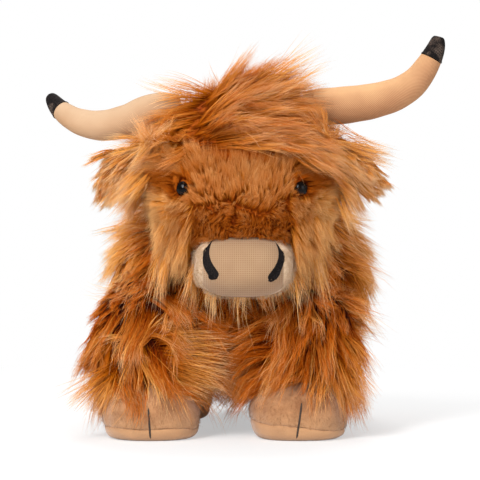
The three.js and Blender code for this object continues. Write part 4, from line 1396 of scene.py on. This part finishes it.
# The forelock's loose locks: where each starts across the crown and up its front, as shares of half its
# width and of its height, then the heading of its root in degrees from straight up towards the cow's
# left, how far it has turned by its tip, its length in millimetres and its strands
LOOSE_LOCKS = (
    (0.02, 0.95, -4, 10, 34, 7), (-0.2, 0.95, -38, 30, 30, 5), (-0.12, 0.95, 40, -60, 30, 5),
    (0.1, 0.95, 30, 30, 34, 12), (0.15, 0.9, 48, 14, 66, 60), (0.3, 0.85, 62, 0, 56, 50),
    (0.4, 0.8, 74, -8, 44, 40), (0.0, 0.9, 60, 24, 60, 60), (-0.35, 0.9, -62, -30, 52, 40),
    (-0.4, 0.85, -84, 18, 58, 30), (-0.5, 0.8, -70, -44, 44, 40), (-0.8, 0.3, -118, -12, 50, 120),
    (-0.9, 0.1, -128, -10, 48, 120), (-0.85, 0.0, -138, -16, 44, 90), (0.9, 0.3, 104, 16, 42, 90),
    (0.9, 0.1, 116, 14, 42, 90), (0.85, 0.0, 134, 14, 40, 80), (0.88, 0.05, 112, -6, 56, 260),
    (0.8, 0.2, 116, -10, 52, 160), (-0.88, 0.05, -104, -10, 44, 120),
)


# Long pale locks on the front legs, in millimetres: where each starts, across and up, then its heading,
# its turn, its length and its strands, as above
LEG_LOCKS = {
    "front_right": (
        (-69, 78, 74, 16, 62, 26), (-66, 73, 84, 12, 66, 34), (-62, 67, 92, 10, 66, 34),
        (-64, 61, 98, 8, 68, 34), (-58, 57, 104, 6, 62, 34), (-56, 50, 112, -8, 58, 30),
        (-62, 46, 122, -16, 54, 30), (-50, 46, 126, -20, 46, 26), (-60, 84, 60, 30, 40, 16),
        (-74, 80, 20, 40, 24, 12), (-80, 74, -60, -60, 34, 16), (-72, 56, 150, 20, 48, 26),
        (-78, 52, 172, 12, 44, 30), (-86, 50, 190, 10, 44, 30), (-84, 66, 200, -10, 46, 24),
        (-90, 60, 196, -6, 40, 26), (-108, 48, 236, -10, 52, 80), (-104, 46, 220, 0, 46, 80),
        (-98, 44, 204, 4, 44, 90), (-72, 46, 178, 0, 34, 30), (-64, 46, 174, 4, 34, 30),
        (-56, 46, 168, 6, 32, 30), (-80, 46, 184, 4, 34, 30), (-48, 46, 160, 6, 30, 24),
        (-88, 46, 190, 4, 34, 30),
    ),
    "front_left": (
        (42, 84, 222, -24, 52, 26), (34, 80, 206, -12, 56, 30), (24, 76, 196, -8, 56, 30),
        (18, 66, 190, 6, 52, 26), (54, 78, 186, 6, 50, 26), (64, 74, 172, 6, 50, 30),
        (74, 68, 166, -6, 50, 30), (82, 60, 160, 8, 50, 30), (84, 50, 154, 4, 48, 30),
        (72, 48, 164, 8, 46, 30), (62, 50, 176, 0, 40, 24), (28, 52, 212, -10, 44, 24),
        (50, 92, 250, -40, 40, 18), (88, 84, 150, 14, 40, 20), (92, 48, 140, -4, 44, 80),
        (90, 46, 158, 4, 46, 120), (94, 58, 132, 20, 46, 60), (92, 70, 130, 30, 46, 36),
        (90, 84, 124, 36, 48, 36), (76, 44, 172, 4, 34, 30),
    ),
}
LEG_FRONT = -106 * MM  # where the legs' locks start
LEG_LOCK_TONES = {"front_right": 0.74, "front_left": 0.56}
LOCK_GAP = 0.8 * MM
LOCK_WIDTH = 0.5 * MM  # of one of its strands
TURN_SPREAD = 7  # degrees by which its strands' turns differ
HEADING_SPREAD = 5
LOCK_SHORTEST = 0.45  # of its length that its shortest strands lack
LEG_TONES = {"front_left": 0.1}
OTHER_LEG_TONE = 0.24


def crown_place(across, up):
    return CROWN.x + across * CROWN_HALF_WIDTH, CROWN_FRONT, CROWN.z + (up - 0.5) * CROWN_HEIGHT


def leg_place(across, up):
    return across * MM, LEG_FRONT, up * MM


def lock_strands(table, place_of, skin, walls, tone, rng):
    """The strands of single locks, each bent in its own arc in the plane of the face"""
    tree = place_tree(skin.places)
    lines, tones = [], []
    for across, up, heading, turn, length, count in table:
        root = np.array(skin.places[tree.find(place_of(across, up))[1]])
        spread = rng.normal(0, 1.2 * MM + 0.02 * MM * count, (count, 3))
        own_turn = np.radians(turn + rng.normal(0, TURN_SPREAD, count))
        own_heading = np.radians(heading + rng.normal(0, HEADING_SPREAD, count))
        own_length = length * MM * (1 - LOCK_SHORTEST * rng.random(count) ** 1.5)
        lean = rng.normal(-0.05, 0.1, count)
        place = root + spread
        points = [place]
        for step in range(LOCK_STEPS):
            angle = own_heading + own_turn * step / LOCK_STEPS
            way = rows(np.sin(angle), lean, np.cos(angle))
            place = place + unit(way) * (own_length / LOCK_STEPS)[:, None] - spread * 0.5 / LOCK_STEPS
            points.append(place)
        lines.append(np.stack(points, axis=1))
        tones.append(np.clip(tone + rng.normal(0, 0.05) + rng.normal(0, 0.12, count), 0, 0.97))
    lines = np.concatenate(lines)
    lines[:, 1:] = kept_clear(lines[:, 1:], walls, LOCK_GAP)
    return lines, np.concatenate(tones)


def set_locks(name, table, place_of, skin, walls, hair, tone, seed):
    """Grows single locks on a backing"""
    rng = np.random.default_rng(seed)
    lines, tones = lock_strands(table, place_of, Surface(skin.data), walls, tone, rng)
    across = unit(rng.normal(0, 1, (len(lines), 3)))
    width = LOCK_WIDTH * (THINNEST + WIDTH_SPREAD * rng.random(len(lines)))
    set_pile(name, lines[:, ::2], across, width, tones, hair, "long_pile")


BODY_SLIMMING = 0.2  # of its half width, on the side where the pile lies thickest
SHOULDER_SLIMMING = 0.12  # more of it at its top


def body_lie(points):
    """Away from the spine and down the sides"""
    away = points[:, 0] - BODY.x
    return rows(away / (120 * MM), 0.15, -0.9)


def body_coat():
    """The long hair of the back, flanks and breast"""
    def aside(points):
        return np.abs(points[:, 0] - BODY.x)

    def flank(points):
        return ease(60 * MM, 95 * MM, aside(points))

    def rear(points):
        return ease(90 * MM, 130 * MM, points[:, 1])

    def over_legs(points):
        """1 where the breast's hair falls over the tops of the front legs"""
        ahead = ease(-40 * MM, -66 * MM, points[:, 1])
        return ease(20 * MM, 44 * MM, aside(points)) * ahead * ease(172 * MM, 146 * MM, points[:, 2])

    def length(points):
        low_down = ease(152 * MM, 128 * MM, points[:, 2]) * ease(20 * MM, 44 * MM, aside(points))
        longer = 10 * MM * low_down + 8 * MM * over_legs(points)
        return 50 * MM - 14 * MM * flank(points) - 8 * MM * rear(points) + longer

    def stand(points):
        rightmost = ease(-60 * MM, -90 * MM, points[:, 0] - BODY.x)
        flatter = 0.12 * flank(points) + 0.12 * rightmost + 0.1 * rear(points)
        return 0.3 + 0.26 * over_legs(points) - flatter

    def tone(points):
        # painted shade on the breast under the head
        chest_shade = ease(70 * MM, 40 * MM, aside(points)) * ease(-40 * MM, -70 * MM, points[:, 1])
        # painted light: the flanks paler, and the cow's right flank, towards the key lamp, paler still
        rightmost = ease(-50 * MM, -80 * MM, points[:, 0] - BODY.x)
        return 0.54 + 0.3 * ease(60 * MM, 90 * MM, aside(points)) + 0.4 * rightmost - 0.54 * chest_shade

    return Coat(strands=26000, lie=body_lie, length=length, stand=stand, lock=13 * MM, tuft=3.6 * MM,
                unruly=0.26, wavy=0.16, rings=4, tone=tone, tone_spread=0.24)


def neck_coat():
    """The hair between head and body"""
    def lie(points):
        return rows((points[:, 0] - HEAD_X) / (60 * MM), 0.6, -0.6)

    return Coat(strands=4200, lie=lie, length=40 * MM, stand=0.3, droop=8, lock=12 * MM, tuft=3.6 * MM,
                gather=0.5, pinch=0.88, unruly=0.3, frizz=0.03, width=0.6 * MM, rings=4, tone=0.7,
                tone_spread=0.18)


HOOF_SHOWN = {"front_right": 0.1, "front_left": 1}  # how far the hair is held back from the hoof's front

# The whorl on the front of each leg, from which its hair spreads: how far aside, and how high
WHORLS = {"front_right": (6 * MM, 80 * MM), "front_left": (18 * MM, 90 * MM)}
INWARD_SWEEP = {"front_right": 1.5, "front_left": 0.5}


def leg_coat(leg):
    """The long hair of a leg, which spreads from the whorl on its front"""
    low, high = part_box(f"{leg}_leg_skin")
    centre = (low + high) / 2
    outward = -1 if "right" in leg else 1
    aside, height = WHORLS.get(leg, (0, high.z - 20 * MM))

    def outer_share(points):
        return ease(-10 * MM, 36 * MM, (points[:, 0] - centre.x) * outward)

    def above(points):
        """1 over the whorl, where the body's hair runs on"""
        return ease(height + 6 * MM, height + 22 * MM, points[:, 2])

    def inner_share(points):
        return 1 - ease(-20 * MM, 8 * MM, (points[:, 0] - centre.x) * outward)

    def lie(points):
        away = (points[:, 0] - centre.x - aside) / (26 * MM)
        low_down = np.minimum((points[:, 2] - height) / (30 * MM), 0)
        sweep = INWARD_SWEEP.get(leg, 0.3) * inner_share(points) * ease(34 * MM, 54 * MM, points[:, 2])
        away *= 0.15 + 0.35 * ease(44 * MM, 68 * MM, points[:, 2])
        falling = 0.25 + 0.6 * outer_share(points) + 0.4 * (1 - inner_share(points))
        spread = rows(away - outward * sweep, 0.05, low_down * 0.6 - falling)
        over = above(points)[:, None]
        onward = -0.6 if "front" in leg else 0.4
        return spread * (1 - over) + rows(np.full(len(points), outward * 0.3), onward, -1.0) * over

    def length(points):
        hem = 1 - ease(50 * MM, 74 * MM, points[:, 2])
        ahead = ease(centre.y - 14 * MM, centre.y - 40 * MM, points[:, 1])
        upper = ease(66 * MM, 96 * MM, points[:, 2]) * outer_share(points)
        shown = HOOF_SHOWN.get(leg, 0.4) * (1 - ease(0, 30 * MM, (points[:, 0] - centre.x) * outward))
        longest = 54 * MM if "front" in leg else 45 * MM
        inner = (12 * MM + 12 * MM * hem) * inner_share(points) * (1 - ahead * hem * shown)
        wanted = longest - 26 * MM * hem * ahead * shown - 26 * MM * upper - 14 * MM * above(points) + inner
        off_floor = 6 * MM + 3 * MM * inner_share(points)
        return np.minimum(wanted, np.maximum(points[:, 2] - off_floor, 12 * MM) * 1.1)

    def stand(points):
        upper = ease(46 * MM, 64 * MM, points[:, 2])
        raised = -0.12 if "front" in leg else 0.06
        return 0.25 - 0.2 * outer_share(points) * upper + raised * above(points)

    return Coat(strands=13000 if "front" in leg else 6000, lie=lie, length=length, stand=stand, droop=8,
                lock=12 * MM, tuft=3.2 * MM, gather=0.45, pinch=0.85, unruly=0.3, wavy=0.2, frizz=0.04,
                width=0.48 * MM, tone=LEG_TONES.get(leg, OTHER_LEG_TONE), tone_spread=0.3)


EAR_SHARES = {"right": 0.72, "left": 0.6}  # of an ear's length is its flap, and the rest is hair


def ear_coat(side):
    """The long hair of an ear"""
    lie = one_way(SIDES[side] * 0.7, -0.1, -0.9)
    return Coat(strands=5600, lie=lie, length=27 * MM, stand=0.22, droop=12, lock=9 * MM, tuft=3 * MM,
                gather=0.35, pinch=0.8, unruly=0.34, wavy=0.14, width=0.52 * MM, rings=4, tone=0.72,
                tone_spread=0.16)


def tail_coat(length, strands, stand):
    """The hair of the tail or of its tuft"""
    return Coat(strands=strands, lie=one_way(0, 0, -1), length=length, stand=stand, droop=4, rings=4,
                lock=7 * MM, tuft=2.8 * MM, gather=0.4, pinch=0.85, unruly=0.25, width=0.62 * MM, tone=0.48)


def hoof_nap_coat():
    """The short brushed pile of the hooves"""
    def bare(points):
        return points[:, 2] < 3 * MM

    return Coat(strands=6500, lie=one_way(0, -0.1, -1), length=2.4 * MM, stand=0.4, droop=0, hang=0,
                lock=5 * MM, tuft=1.5 * MM, gather=0.1, pinch=0.35, unruly=0.7, frizz=0.16, width=0.2 * MM,
                rings=2, tone_spread=0.3, bare=bare, clear=0.1 * MM)


def fuzz_coat():
    """The short nap at the muzzle's sides"""
    def lie(points):
        return rows(points[:, 0] - MUZZLE.x, -10 * MM, points[:, 2] - MUZZLE.z)

    return Coat(strands=5000, lie=lie, length=3.2 * MM, stand=0.6, droop=0, lock=4 * MM, tuft=1.4 * MM,
                gather=0.1, pinch=0.3, unruly=0.4, frizz=0.12, width=0.22 * MM, rings=2, clear=0.1 * MM)


# Stage

FLOOR_WHITENESS = 0.46  # of the plain white, beside the cow, that its shadow doesn't reach
FLOOR_HALF = 6 * UNIT
SKY_STRENGTH = 0.4


def blended(tree, share, low, high, output):
    """Ends a tree with a share of two shaders"""
    blend = tree.nodes.new("ShaderNodeMixShader")
    for socket, source in zip(blend.inputs, (share, low, high)):
        tree.links.new(source, socket)
    tree.links.new(blend.outputs[0], tree.nodes[output].inputs[0])


def set_floor():
    """A floor that takes the cow's shadow and looks plain white further off"""
    corners = [(x * FLOOR_HALF, y * FLOOR_HALF, 0) for x, y in ((-1, -1), (1, -1), (1, 1), (-1, 1))]
    mesh = bpy.data.meshes.new("floor")
    mesh.from_pydata(corners, [], [(0, 1, 2, 3)])
    floor = add_object("floor", mesh)
    finish = Finish("floor", base_color=(0.9, 0.9, 0.9, 1), roughness=0.9, specular_ior_level=0.1)
    camera, glossy, through = [finish.node("LightPath", {}, {}, f"Is {kind} Ray")
                               for kind in ("Camera", "Glossy", "Transmission")]
    distance = finish.node("VectorMath", {"operation": "LENGTH"}, {0: finish.place()}, "Value")
    faded = distance.over(160 * MM, 760 * MM) * (1 - FLOOR_WHITENESS) + FLOOR_WHITENESS
    white = finish.tree.nodes.new("ShaderNodeEmission")
    share = (camera + glossy + through).at_most(1) * faded
    blended(finish.tree, share.socket, finish.shader.outputs[0], white.outputs[0], "Material Output")
    coloured(floor, finish.material)


def set_sky():
    """Soft light all round, which the camera sees as plain white"""
    world = bpy.data.worlds.new("studio")
    world.use_nodes = True
    tree = world.node_tree
    soft = tree.nodes["Background"]
    bright = tree.nodes.new("ShaderNodeBackground")
    for background, strength in ((soft, SKY_STRENGTH), (bright, 1)):
        background.inputs["Color"].default_value = (1, 1, 1, 1)
        background.inputs["Strength"].default_value = strength
    path = tree.nodes.new("ShaderNodeLightPath")
    either = tree.nodes.new("ShaderNodeMath")
    either.operation = "MAXIMUM"
    tree.links.new(path.outputs["Is Camera Ray"], either.inputs[0])
    tree.links.new(path.outputs["Is Transmission Ray"], either.inputs[1])
    blended(tree, either.outputs[0], soft.outputs[0], bright.outputs[0], "World Output")
    bpy.context.scene.world = world


LIGHTS_AIM = (0, -0.05, 0.16)


def set_lights():
    """The studio's lamps, each with its place, its width and height, and its power"""
    for name, place, size, height, power in (
        ("key", (-0.9, -1.3, 1.2), 0.8, 0.8, 13),
        ("window", (-0.55, -1.4, 0.95), 0.2, 0.9, 20),
        ("fill", (1.4, -1.2, 0.7), 1.0, 1.0, 8),
        ("crown_light", (0.1, 0.6, 1.5), 0.8, 0.8, 14),
    ):
        lamp = bpy.data.lights.new(name, "AREA")
        lamp.shape = "RECTANGLE"
        lamp.size = size
        lamp.size_y = height
        lamp.energy = power
        aim(add_object(name, lamp), place, LIGHTS_AIM)


# The cow

NECK_BAND = (BODY.y - 90 * MM, BODY.y - 20 * MM)  # from front to back
NECK_LOW = 150 * MM
NECK_HALF_WIDTH = 72 * MM
CROWN_BACK = CROWN.y + 46 * MM
CROWN_LOW = CROWN.z - 20 * MM


def around_neck(place):
    beside = abs(place.x - HEAD_X) < NECK_HALF_WIDTH
    return beside and NECK_BAND[0] < place.y < NECK_BAND[1] and place.z > NECK_LOW


def on_crown(place):
    beside = abs(place.x - CROWN.x) < CROWN_HALF_WIDTH
    return beside and place.y < CROWN_BACK and place.z > CROWN_LOW


def set_inner_looks(finishes):
    """Gives the fillings and washers inside their own looks"""
    looks = {f"{leg}_leg_filling": finishes.stuffing for leg in LEGS}
    looks |= {"head_filling": finishes.stuffing, "body_filling": finishes.stuffing}
    looks |= {f"{side}_eye_washer": finishes.washer for side in SIDES}
    for node, material in looks.items():
        coloured(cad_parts[node], material)


def make_backings(finishes):
    """The smooth backings, each in place of the furry skin that it stands for"""
    def backing(name, node, cloth, slot="long_pile", body="cow", **form):
        made = stretched_over(name, [node], **form)
        return finished(made, cloth, body, [node])

    shaded, face = finishes.shaded, finishes.face_undercoat
    head = backing("head_backing", "head_skin", face, "face_pile", voxel=3 * MM, rounds=16, inset=6 * MM)
    sunk_above_muzzle(head)
    drawn_out(head, "head_filling", gap=2.5 * MM)

    body = backing("body_backing", "body_skin", shaded, voxel=4 * MM, rounds=16, inset=15 * MM)
    places = Surface(body.data).places
    aside = np.minimum(places[:, 0] - BODY.x, 0)
    slimming = BODY_SLIMMING + SHOULDER_SLIMMING * ease(112 * MM, 138 * MM, places[:, 2])
    places[:, 0] -= aside * slimming
    drawn_out(moved(body, places), "body_filling", gap=3 * MM)

    neck = stretched_over("neck_backing", ("head_skin", "body_skin"), voxel=3 * MM, rounds=14, inset=12 * MM,
                          within=around_neck)
    finished(neck, shaded)
    crown = stretched_over("forelock_backing", ["forelock"], voxel=2.5 * MM, rounds=14, inset=12 * MM,
                           within=on_crown)
    finished(crown, face, replaces=["forelock"])
    laid_on(crown, head)

    legs = {}
    for leg in LEGS:
        sleeve = backing(f"{leg}_leg_backing", f"{leg}_leg_skin", shaded, voxel=3 * MM, rounds=14,
                         inset=11 * MM)
        legs[leg] = drawn_out(sleeve, f"{leg}_leg_filling", gap=3 * MM)
    ears = {}
    for side in SIDES:
        ear = f"{side}_ear"
        ears[side] = backing(f"{ear}_backing", ear, face, body=ear, voxel=1.5 * MM, rounds=8, inset=2 * MM)
        places = Surface(ears[side].data).places
        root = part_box(ear)[1 if side == "right" else 0].x
        places[:, 0] = root + (places[:, 0] - root) * EAR_SHARES[side]
        moved(ears[side], places)

    tail = rounded_copy("tail_backing", "tail", voxel=1.5 * MM, rounds=6)
    finished(tail, face, body="tail", replaces=["tail"])
    tuft = backing("tail_tuft_backing", "tail_tuft", finishes.undercoat, body="tail", voxel=1.5 * MM,
                   rounds=6, inset=5 * MM)
    return SimpleNamespace(head=head, body=body, neck=neck, crown=crown, legs=legs, ears=ears, tail=tail,
                           tuft=tuft)


def dress_cow():
    """Makes every piece, and grows each coat with its own seed"""
    finishes = make_finishes()
    set_inner_looks(finishes)
    skins = make_backings(finishes)
    horns = [piece for side in SIDES for piece in make_horn(side, finishes.horns[side], finishes.horn_tip)]
    muzzle = make_muzzle(finishes.weave, finishes.fleece, finishes.nostril)
    eyes = [make_eye(side, finishes.eye) for side in SIDES]
    hooves = {leg: make_hoof(leg, finishes.hoof, finishes.thread) for leg in LEGS}
    walls = joined_walls([skins.head, skins.body, skins.neck, skins.crown, *skins.legs.values(), *horns,
                          *muzzle.values(), *eyes, *(piece for hoof in hooves.values() for piece in hoof)])
    hair, face_hair = finishes.hair, finishes.face_hair

    def grow(name, skin, coat, seed, material=hair, slot="long_pile", body="cow"):
        rng = np.random.default_rng(seed)
        set_pile(name, *strand_lines(coat, Surface(skin.data), walls, rng), material, slot, body)

    grow("face_fur", skins.head, face_coat(), seed=11, material=face_hair, slot="face_pile")
    grow("jowl_fur", skins.head, jowl_coat(), seed=16, material=face_hair, slot="face_pile")
    grow("beard_fur", skins.head, beard_coat(), seed=12, slot="face_pile")
    grow("fringe_fur", skins.head, fringe_coat(), seed=18)
    grow("temple_fur", skins.head, temple_coat(), seed=19)
    grow("forelock_fur", skins.crown, crown_coat(), seed=13)
    grow("neck_fur", skins.neck, neck_coat(), seed=17)
    for seed, side in enumerate(SIDES, 50):
        grow(f"{side}_muzzle_nap", muzzle[side], fuzz_coat(), seed, finishes.muzzle_nap, "muzzle_pile")
    for seed, (leg, (upper, _)) in enumerate(hooves.items(), 70):
        grow(f"{leg}_hoof_nap", upper, hoof_nap_coat(), seed, finishes.hoof_nap, "hoof_pile")

    set_locks("loose_locks", LOOSE_LOCKS, crown_place, skins.crown, walls, hair, LOOSE_TONE, seed=15)
    for leg, table in LEG_LOCKS.items():
        tone = LEG_LOCK_TONES[leg]
        set_locks(f"{leg}_leg_locks", table, leg_place, skins.legs[leg], walls, hair, tone, seed=60)

    grow("body_fur", skins.body, body_coat(), seed=14)
    for seed, (leg, skin) in enumerate(skins.legs.items(), 20):
        grow(f"{leg}_leg_fur", skin, leg_coat(leg), seed)
    for seed, (side, skin) in enumerate(skins.ears.items(), 30):
        grow(f"{side}_ear_fur", skin, ear_coat(side), seed, body=f"{side}_ear")
    tail_hair = tail_coat(length=18 * MM, strands=2800, stand=0.25)
    tuft_hair = tail_coat(length=42 * MM, strands=1800, stand=0.3)
    grow("tail_fur", skins.tail, tail_hair, seed=40, body="tail")
    grow("tail_tuft_fur", skins.tuft, tuft_hair, seed=41, body="tail")


set_camera()
set_lights()
set_floor()
set_sky()
dress_cow()
bpy.context.scene.view_settings.view_transform = "Standard"
